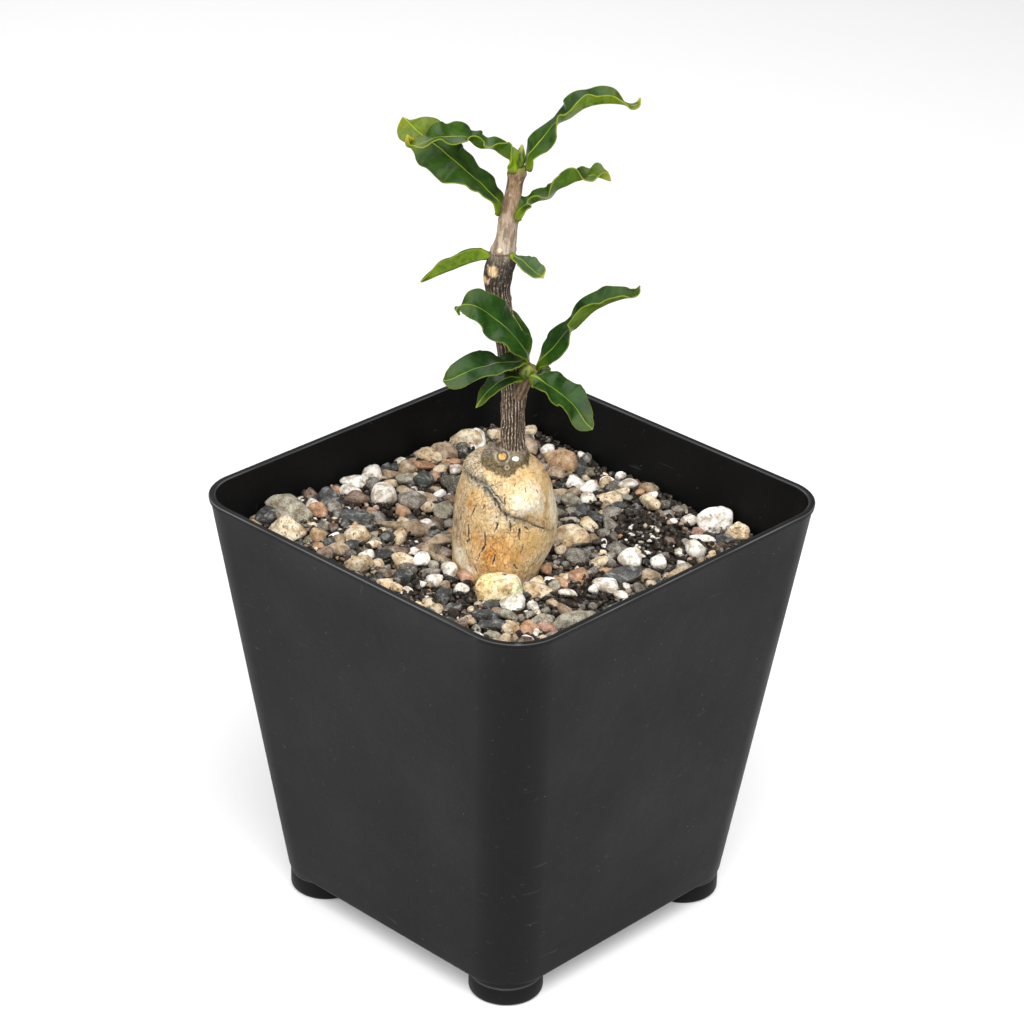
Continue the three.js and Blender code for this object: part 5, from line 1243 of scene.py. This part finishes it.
def front_stone_tone(points, middle):
    """Factors on the front stone's colour: warmer at the upper left, cooler at the right, and painted shade
    in a pit that the mesh does not hollow.
    """
    offset = turned(points - np.array(middle), -PLANT_TURN)
    warm = eased(0.7 * offset[:, 2] - offset[:, 0] + 0.8 * noise(offset, 2, 64, 2), 1, 4.5)[:, None]
    cool = eased(offset[:, 0] - 0.8 * offset[:, 2] + 0.8 * noise(offset, 2, 65, 2), 0.5, 4)[:, None]
    # Painted shade: a dark spot where the pit would be shaded.
    pit_shade = 1 - eased(np.linalg.norm((points - np.array(FRONT_PIT_SHADE)) * (1, 1, 0.5), axis=1), 0.3, 0.75)
    return (1 - warm * (0, 0.2, 0.45)) * (1 - cool * (0.24, 0.14, 0.3)) * (1 - 0.9 * pit_shade[:, None])


def make_stones(finishes):
    """The larger stones, each a piece of its own on its own node's place."""
    random = np.random.default_rng(STONE_SEED)
    finish_of = {kind: name for name, kinds in FINISH_KINDS.items() for kind in kinds}
    for node, (middle, size, turn, kind) in STONES.items():
        shape = Shape()
        sizes = [[STONE_GROWTH * side for side in size]]
        add_stones(shape, [middle], sizes, np.array([turn]), [kind], random, *STONE_GRID,
                   facets=13, tilt=0.1, boxy=kind == "yellow")
        if kind == "yellow":
            shape.values["stone_colour"][0] *= front_stone_tone(shape.points[0], middle)
        shape.piece(node + "_finished", finishes[finish_of[kind]], STONE_SLOTS[kind], [node])


# The plant

def in_degrees(angle):
    """Angles in degrees, counted so that the front is unbroken."""
    return (np.degrees(angle) + 200) % 360 - 200


def towards(angle, degrees):
    """1 on the side that faces this way, and 0 from a quarter of a turn away on: the cosine between."""
    return np.clip(np.cos(angle - np.radians(degrees)), 0, 1)


def off_line(angle, z, line):
    """How far each point lies from a line of (angle, height) places on the unrolled skin.

    The second array says how far along the line the nearest place is, from 0 to 1."""
    here = np.stack([np.radians(in_degrees(angle)) * SKIN_RADIUS, z], axis=-1)
    places = np.array(line, float) * np.array([np.radians(SKIN_RADIUS), 1])
    best, along = np.full(z.shape, 1e9), np.zeros(z.shape)
    for k, (start, end) in enumerate(zip(places[:-1], places[1:])):
        course = end - start
        share = np.clip((here - start) @ course / (course @ course), 0, 1)
        away = np.linalg.norm(here - start - share[..., None] * course, axis=-1)
        along = np.where(away < best, (k + share) / (len(places) - 1), along)
        best = np.minimum(best, away)
    return best, along


def skin_lines(angle, z):
    """How near each point is to the fold and to a crack: 1 on it, 0 away from it. Noise makes them ragged.

    A painted highlight on the skin beside the cracks follows, and then the distance from the fold and the
    place along it."""
    skin = np.stack([np.cos(angle) * SKIN_RADIUS, np.sin(angle) * SKIN_RADIUS, z], axis=-1)
    ragged = angle + 0.016 * noise(skin, 0.9, 44, 2), z + 0.16 * noise(skin, 0.9, 45, 2)
    frayed = ragged[0] + 0.02 * noise(skin, 0.5, 70, 2), ragged[1] + 0.22 * noise(skin, 0.5, 71, 2)
    away, along = off_line(*frayed, FOLD)
    width = np.interp(along, *FOLD_WIDTH)
    strength = np.interp(along, *FOLD_STRENGTH) * (0.6 + 0.4 * eased(noise(skin, 1.4, 50), -0.5, 0.1))
    fold = (1 - eased(away, 0.4 * width, 1.4 * width)) * strength
    cracks = np.zeros_like(z)
    edges = np.zeros_like(z)
    for half_width, *line in CRACKS:
        away, along = off_line(*ragged, line)
        width = half_width * (0.5 + 0.5 * np.sin(np.pi * along))
        cracks = np.maximum(cracks, 1 - eased(away, 0.5 * width, 1.4 * width))
        # A pale band beside each crack, for a painted highlight.
        edges = np.maximum(edges, 1 - eased(away, 1.5 * width, 1.5 * width + 0.3))
    return fold, cracks, edges, off_line(*ragged, FOLD)


def caudex_relief(reach, angle, surface):
    """The caudex's radius: shoulders under the crown, a bulge that overhangs the fold, wrinkles and cracks.

    Each is a hump or a smooth step in height, times how far the point faces its side of the plant."""
    z = surface[..., 2]
    degrees = in_degrees(angle)
    fold, cracks, _, (away, along) = skin_lines(angle, z)
    above = z - np.interp(degrees, *np.transpose(FOLD))
    window = eased(degrees, -135, -105) * (1 - eased(degrees, -45, -20))
    lip = 0.55 * window * eased(above, -0.5, 0.6) * np.exp(-np.clip(above, 0, 9) / 3.5)
    bulge = 0.8 * np.exp(-(((degrees + 66) * MM_PER_DEGREE / 4.6) ** 2) - ((z - 108.4) / 3) ** 2)
    hollow = 0.35 * hump(away, 0, 1.1) * np.interp(along, [0, 0.15, 0.9, 1], [0, 1, 0.7, 0])
    shoulder = 1.0 * hump(z, 112, 2.2) * towards(angle, 160) ** 1.2
    shoulder = shoulder + 0.8 * hump(z, 112.4, 2.6) * towards(angle, 0) ** 1.2
    shoulder = shoulder * eased(115.4 - z, 0, 1.8)
    shoulder = shoulder + 0.25 * hump(z, 115.1, 0.9) * towards(angle, 130)
    waist = towards(angle, -6) ** 2 * (0.4 * hump(z, 99.8, 3) - 1.3 * eased(95.5 - z, 0, 8))
    broad = 0.12 * noise(surface, 6, 42) + 0.1 * noise(surface, 2.6, 46)
    wrinkle = 0.07 * noise(surface, (1.1, 1.1, 2.4), 43, 3)
    rough = eased(116.2 - z, 0, 2) * (broad + wrinkle)
    return reach + lip + bulge - hollow + shoulder + waist + rough - 0.25 * fold - 0.35 * cracks


def skin_area(rows, degrees, z):
    """Where an area of the skin lies: soft ovals, exp(-(across / wide) ** 2 - (up / tall) ** 2)."""
    area = np.zeros_like(z)
    for middle, height, wide, tall, strength in rows:
        across = ((degrees - middle + 180) % 360 - 180) * np.radians(SKIN_RADIUS) / wide
        area = np.maximum(area, strength * np.exp(-(across**2) - ((z - height) / tall) ** 2))
    return area


def crown_marks(rings):
    """The crown's scar, pale spot and ring: the marks themselves, a halo round them and a dark outline."""
    marks = {name: np.zeros(rings.shape[:2]) for name in ("scar", "pale", "halo", "outline")}

    def lay(name, values):
        """Raises a mark to these values where they are higher."""
        marks[name] = np.maximum(marks[name], values)

    partly = eased(noise(rings, 1.2, 58), -0.4, 0.3)
    for middle, height, radius, mark in CROWN_MARKS:
        offset = (rings - limb_point(middle, height)) * np.array(MARK_SQUEEZE[mark])
        away = np.linalg.norm(offset, axis=-1) + 0.06 * noise(rings, 0.6, 49, 2)
        if mark == "ring":
            lay("halo", (0.3 + 0.4 * partly) * hump(away, radius, 0.14))
            lay("outline", 0.6 * hump(away, 0.15, 0.22))
        else:
            around = partly if mark == "scar" else 0.3
            lay(mark, 1 - eased(away, 0.8 * radius, radius))
            lay("outline", around * hump(away, 1.1 * radius, 0.15))
            lay("halo", 0.7 * around * hump(away, 1.45 * radius, 0.2))
    return marks


def make_caudex(finish):
    """The caudex: rings round its path that carry its fold, cracks, areas, olive crown and marks."""
    steps, sides = CAUDEX_GRID
    rings = limb_rings(CAUDEX, steps, sides, caudex_relief)
    angle = np.broadcast_to(np.linspace(0, 2 * np.pi, sides, endpoint=False), (steps, sides))
    z = rings[..., 2]
    degrees = in_degrees(angle)
    fold, crack, flaked, (away, along) = skin_lines(angle, z)
    ragged = away * (1 + 0.5 * noise(rings, 1.1, 46, 2))
    seam = (1 - eased(ragged, 0.6, 1.5)) * np.interp(along, *SEAM_STRENGTH)
    collar = eased(z + 0.3 * noise(rings, 1.2, 62, 2), 114.9, 115.6) * (0.7 + 0.3 * noise(rings, 0.5, 63, 2))
    collar = collar * (1 - 0.55 * np.clip(-np.sin(angle), 0, 1) ** 2)
    areas = {name: skin_area(rows, degrees, z) for name, rows in AREAS.items()}
    jag = 0.35 * noise(rings, 0.8, 47) + 0.15 * noise(rings, 0.3, 48)
    edge = np.interp((degrees + 180) % 360 - 180, *np.transpose(OLIVE_EDGE))
    olive = eased(z + jag - edge, -0.2, 0.2)
    shape = Shape()
    add_tube(shape, rings, fold=fold, seam=seam, crack=crack, flaked=flaked, olive=olive, collar=collar,
             **areas, **crown_marks(rings))
    turn_plant(shape)
    shape.piece("caudex_body", finish, "caudex_skin", ["caudex"])


def limb_point(degrees, height):
    """The point of the plain caudex at an angle and a height."""
    rows = np.array(CAUDEX, float)
    x, y, radius = (np.interp(height, rows[:, 2], rows[:, k]) for k in (0, 1, 3))
    angle = math.radians(degrees)
    return np.array([x + radius * math.cos(angle), y + radius * math.sin(angle), height])


def turn_plant(shape):
    """Turns a shape from the plant's frame to the pot's."""
    shape.points = [turned(points, PLANT_TURN) for points in shape.points]


def bark_ridges(angle, surface):
    """Ridges along a limb, from 1 on a crest to -1 in a groove: the cosine of the bent angle times the waves.

    There is one wave for every eight points round the limb. Noise bends the angle and breaks the ridges."""
    waves = angle.shape[1] // 8
    bend = 0.2 * noise(surface, (2.2, 2.2, 5), 51, 2) + 0.06 * noise(surface, (0.9, 0.9, 1.3), 61, 2)
    broken = 0.75 + 0.6 * noise(surface, (1.1, 1.1, 1.7), 55, 2)
    return np.clip(broken, 0, 1) * np.cos(waves * (angle + bend))


def stem_relief(reach, angle, surface):
    """The stem's radius: ridges that fade upwards, rings where leaves stood, and knobs on the swelling."""
    z = surface[..., 2]
    knobs = 0.4 * hump(z, 157, 3.2) * np.clip(noise(surface, 2.4, 52), 0, 1)
    rings = sum(0.16 * hump(z, level, 0.5) for level in STEM_RINGS)
    ridges = (0.02 + 0.11 * (1 - eased(z, *OLD_BARK_ENDS))) * bark_ridges(angle, surface)
    return reach + ridges + knobs + rings + 0.07 * noise(surface, 1.4, 53, 2)


def make_stem(finish):
    """The stem and its side shoot: ridged limbs that carry how old, grooved or green the bark is."""
    shape = Shape()
    for rows, (steps, sides), is_stem in ((STEM, STEM_GRID, True), (SIDE_SHOOT, SHOOT_GRID, False)):
        rings = limb_rings(rows, steps, sides, stem_relief)
        plain = limb_rings(rows, steps, sides)
        angle = np.broadcast_to(np.linspace(0, 2 * np.pi, sides, endpoint=False), (steps, sides))
        z = plain[..., 2]
        ridges = bark_ridges(angle, plain)
        old = (1 - eased(z, *OLD_BARK_ENDS)) * (1 if is_stem else 0.45)
        groove = eased(-ridges, -0.25, 0.7) * (0.12 + 0.88 * old) * eased(z, 115, 116)
        foot = z + 0.8 * noise(rings, (0.7, 0.7, 4), 66)
        crest = eased(ridges, 0.1, 0.75) * old * eased(foot, 114.6, 115.4)
        line = hump(z - 161.1 - 0.3 * noise(rings, 1.1, 57), 0, 0.22)
        groove = np.maximum(groove, 0.75 * line * eased(noise(rings, 1.3, 59), -0.6, 0.3))
        swelling = np.exp(-(((z - 156.5) / 4.4) ** 4)) * is_stem
        tan_scar = np.zeros_like(z)
        rag = 0.35 * noise(rings, 1.0, 54, 2), 0.3 * noise(rings, 0.5, 60, 2)
        for *middle, size in TAN_SCARS:
            away = np.linalg.norm(rings - np.array(middle), axis=-1) + rag[0] + rag[1]
            tan_scar = np.maximum(tan_scar, 0.9 - 0.9 * eased(away, 0.5 * size, 1.15 * size))
        green = 0.8 * eased(z, 178.4, 179.6) + (0 if is_stem else 0.6 * eased(z, 134.6, 136))
        brown = eased(z, 162, 176) if is_stem else np.ones_like(z)
        add_tube(shape, rings, old=old, groove=groove, swelling=swelling, tan_scar=tan_scar, green=green,
                 crest=crest, brown=brown)
    turn_plant(shape)
    shape.piece("stem_body", finish, "bark", ["stem"])


def bud_relief(reach, angle, surface):
    """A bud's radius, times 1 + 0.09 cos(5 angle), which gives five scales, and lumps of noise."""
    return reach * (1 + 0.09 * np.cos(5 * angle) + 0.12 * noise(surface, 0.9, 56))


def make_bud(name, rows, finish, node):
    """A bud that carries each point's share of its length."""
    steps, sides = BUD_GRID
    shape = Shape()
    share = np.repeat(np.linspace(0, 1, steps)[:, None], sides, axis=1)
    add_tube(shape, limb_rings(rows, steps, sides, bud_relief), share=share)
    turn_plant(shape)
    shape.piece(name, finish, "bud", [node])


def leaf_sheet(rows):
    """The middle sheet of a leaf, on a grid of shares along it and places from -1 to 1 across it.

    Smooth curves run through the rows' rib and margins. Each half goes out from the rib evenly, and up from
    it more steeply towards its margin."""
    share = np.linspace(0, 1, LEAF_ROWS)
    path = curve_rows(rows, share)
    middle = path[:, :3]
    course = unit(np.gradient(middle, axis=0))
    level = unit(np.cross(middle[-1] - middle[0], (0, 0, 1)))
    across = unit(level - (course @ level)[:, None] * course)
    lift = np.cross(across, course)
    place = np.linspace(-1, 1, LEAF_COLUMNS + 1)
    right = place > 0
    reach = np.abs(place)
    out = np.where(right, path[:, 3:4], path[:, 5:6]) * place
    up = np.where(right, path[:, 4:5], path[:, 6:7]) * (0.65 * reach + 0.35 * reach**2)
    sheet = middle[:, None] + out[..., None] * across[:, None] + up[..., None] * lift[:, None]
    along = np.concatenate([[0], np.cumsum(np.linalg.norm(np.diff(middle, axis=0), axis=1))])
    width = np.where(right, np.hypot(path[:, 3:4], path[:, 4:5]), np.hypot(path[:, 5:6], path[:, 6:7]))
    return sheet, share, reach, along, width * reach, width * (1 - reach)


def make_leaf(name, finish):
    """A leaf: the middle sheet with an upper and a lower face, joined round its edge, thick at the stalk."""
    sheet, share, place, along, reach, margin = leaf_sheet(LEAVES[name])
    normal = unit(np.cross(np.gradient(sheet, axis=1), np.gradient(sheet, axis=0)))
    stalk = np.clip(1 - share / STALK_SHARE, 0, 1)[:, None]
    thickness = LEAF_MARGIN + LEAF_RIB * (1 - place) ** 3 + LEAF_STALK * stalk * np.sqrt(1 - 0.9 * place**2)
    rows, columns = sheet.shape[:2]
    upper = sheet + 0.5 * thickness[..., None] * normal
    lower = sheet - 0.5 * thickness[..., None] * normal
    k, j = np.arange(rows), np.arange(columns)
    edge = np.concatenate([j[:-1], k[:-1] * columns + columns - 1, (rows - 1) * columns + j[:0:-1],
                           k[:0:-1] * columns])
    following = np.roll(edge, -1)
    below = rows * columns
    sides = np.stack([edge, edge + below, following + below, following], axis=-1)
    faces = np.vstack([grid_faces(rows, columns), grid_faces(rows, columns, flip=True) + below, sides])

    def both(values):
        """Values for the upper face, and the same ones for the lower face."""
        return np.tile(np.broadcast_to(values, (rows, columns)).ravel(), 2)

    carried = {"share": share[:, None], "along": along[:, None], "reach": reach, "margin": margin,
               "young": LEAF_YOUTH[name], "blue_sheen": LEAF_BLUE_SHEEN.get(name, 0),
               "painted_light_below": LEAF_LIGHT_BELOW.get(name, 0.6), "pale_tip": LEAF_PALE_TIP.get(name, 0.1)}
    shape = Shape()
    shape.add(np.vstack([upper.reshape(-1, 3), lower.reshape(-1, 3)]), faces,
              upper=np.repeat([1.0, 0.0], below), **{key: both(values) for key, values in carried.items()})
    turn_plant(shape)
    shape.piece(name + "_blade", finish, "leaf", [name])


# The studio

def make_camera():
    """The camera, placed by its turn and rise about the target, and rolled about its own view."""
    a, e = VIEW_TURN, VIEW_RISE
    back = np.array([math.sin(a) * math.cos(e), -math.cos(a) * math.cos(e), math.sin(e)])
    right = np.array([math.cos(a), math.sin(a), 0])
    up = np.cross(back, right)
    c, s = math.cos(VIEW_ROLL), math.sin(VIEW_ROLL)
    rolled_right, rolled_up = c * right + s * up, c * up - s * right
    data = bpy.data.cameras.new("camera")
    data.lens, data.sensor_width = LENS, SENSOR
    camera = bpy.data.objects.new("camera", data)
    bpy.context.collection.objects.link(camera)
    place = (np.array(VIEW_TARGET) + VIEW_DISTANCE * back) * MM
    axes = np.eye(4)
    axes[:3, 0], axes[:3, 1], axes[:3, 2], axes[:3, 3] = rolled_right, rolled_up, back, place
    camera.matrix_world = Matrix(axes.tolist())
    bpy.context.scene.camera = camera


def area_light(name, place, size, power):
    """A square light at a place, turned to face the pot's upper half."""
    data = bpy.data.lights.new(name, "AREA")
    data.shape, data.size, data.energy = "SQUARE", size * MM, power
    light = bpy.data.objects.new(name, data)
    bpy.context.collection.objects.link(light)
    light.location = Vector(place) * MM
    aim = Vector(LIGHT_TARGET) * MM - light.location
    light.rotation_euler = aim.to_track_quat("-Z", "Y").to_euler()


def make_studio():
    """A white floor and soft light from above and both sides."""
    scene = bpy.context.scene
    scene.view_settings.view_transform = "Standard"
    world = bpy.data.worlds.new("studio")
    scene.world = world
    world.use_nodes = True
    backdrop = world.node_tree.nodes["Background"]
    backdrop.inputs["Color"].default_value = (1, 1, 1, 1)
    backdrop.inputs["Strength"].default_value = SKY_STRENGTH
    half = FLOOR_HALF * MM
    corners = [(-half, -half, 0), (half, -half, 0), (half, half, 0), (-half, half, 0)]
    floor = bpy.data.meshes.new("floor")
    floor.from_pydata(corners, [], [(0, 1, 2, 3)])
    card = bpy.data.materials.new("floor_card")
    card.use_nodes = True
    shader = card.node_tree.nodes["Principled BSDF"]
    for socket, value in (("Base Color", (0.8, 0.8, 0.8, 1)), ("Roughness", 0.9), ("Specular IOR Level", 0.0),
                          ("Emission Color", (1, 1, 1, 1)), ("Emission Strength", FLOOR_GLOW)):
        shader.inputs[socket].default_value = value
    floor.materials.append(card)
    stage = bpy.data.objects.new("floor", floor)
    bpy.context.collection.objects.link(stage)
    c, s = math.cos(VIEW_TURN), math.sin(VIEW_TURN)
    up, away, right = np.array([0, 0, 1]), np.array([-s, c, 0]), np.array([c, s, 0])
    for name, (above, beyond, aside, size, power) in LIGHTS.items():
        area_light(name, tuple(above * up + beyond * away + aside * right), size, power)


def main():
    """The camera, the studio, and every piece with its finish."""
    make_camera()
    make_studio()
    make_pot(pot_plastic())
    make_soil(peat())
    finishes = {
        "marble": rock("marble", speckle=0.12, pits=0.3, gloss=0.8),
        "pumice": rock("pumice", speckle=0.3, pits=0.8, stain=0.5, gloss=0.85),
        "greystone": rock("greystone", speckle=0.75, gloss=0.75),
        "slate": rock("slate", speckle=0.25, streaks=0.3, gloss=0.55),
        "granite": rock("granite", speckle=0.45, streaks=0.35, gloss=0.7),
        "brownstone": rock("brownstone", speckle=0.5, streaks=0.25, gloss=0.72),
        "crumb": rock("crumb", speckle=0.2, gloss=0.88),
    }
    make_gravel(finishes)
    make_stones(finishes)
    make_caudex(caudex_skin())
    make_stem(bark())
    bud = bud_skin()
    make_bud("apical_bud_scales", APICAL_BUD, bud, "apical_bud")
    make_bud("shoot_bud_scales", SHOOT_BUD, bud, "shoot_bud")
    skin = leaf_skin()
    for name in LEAVES:
        make_leaf(name, skin)


main()
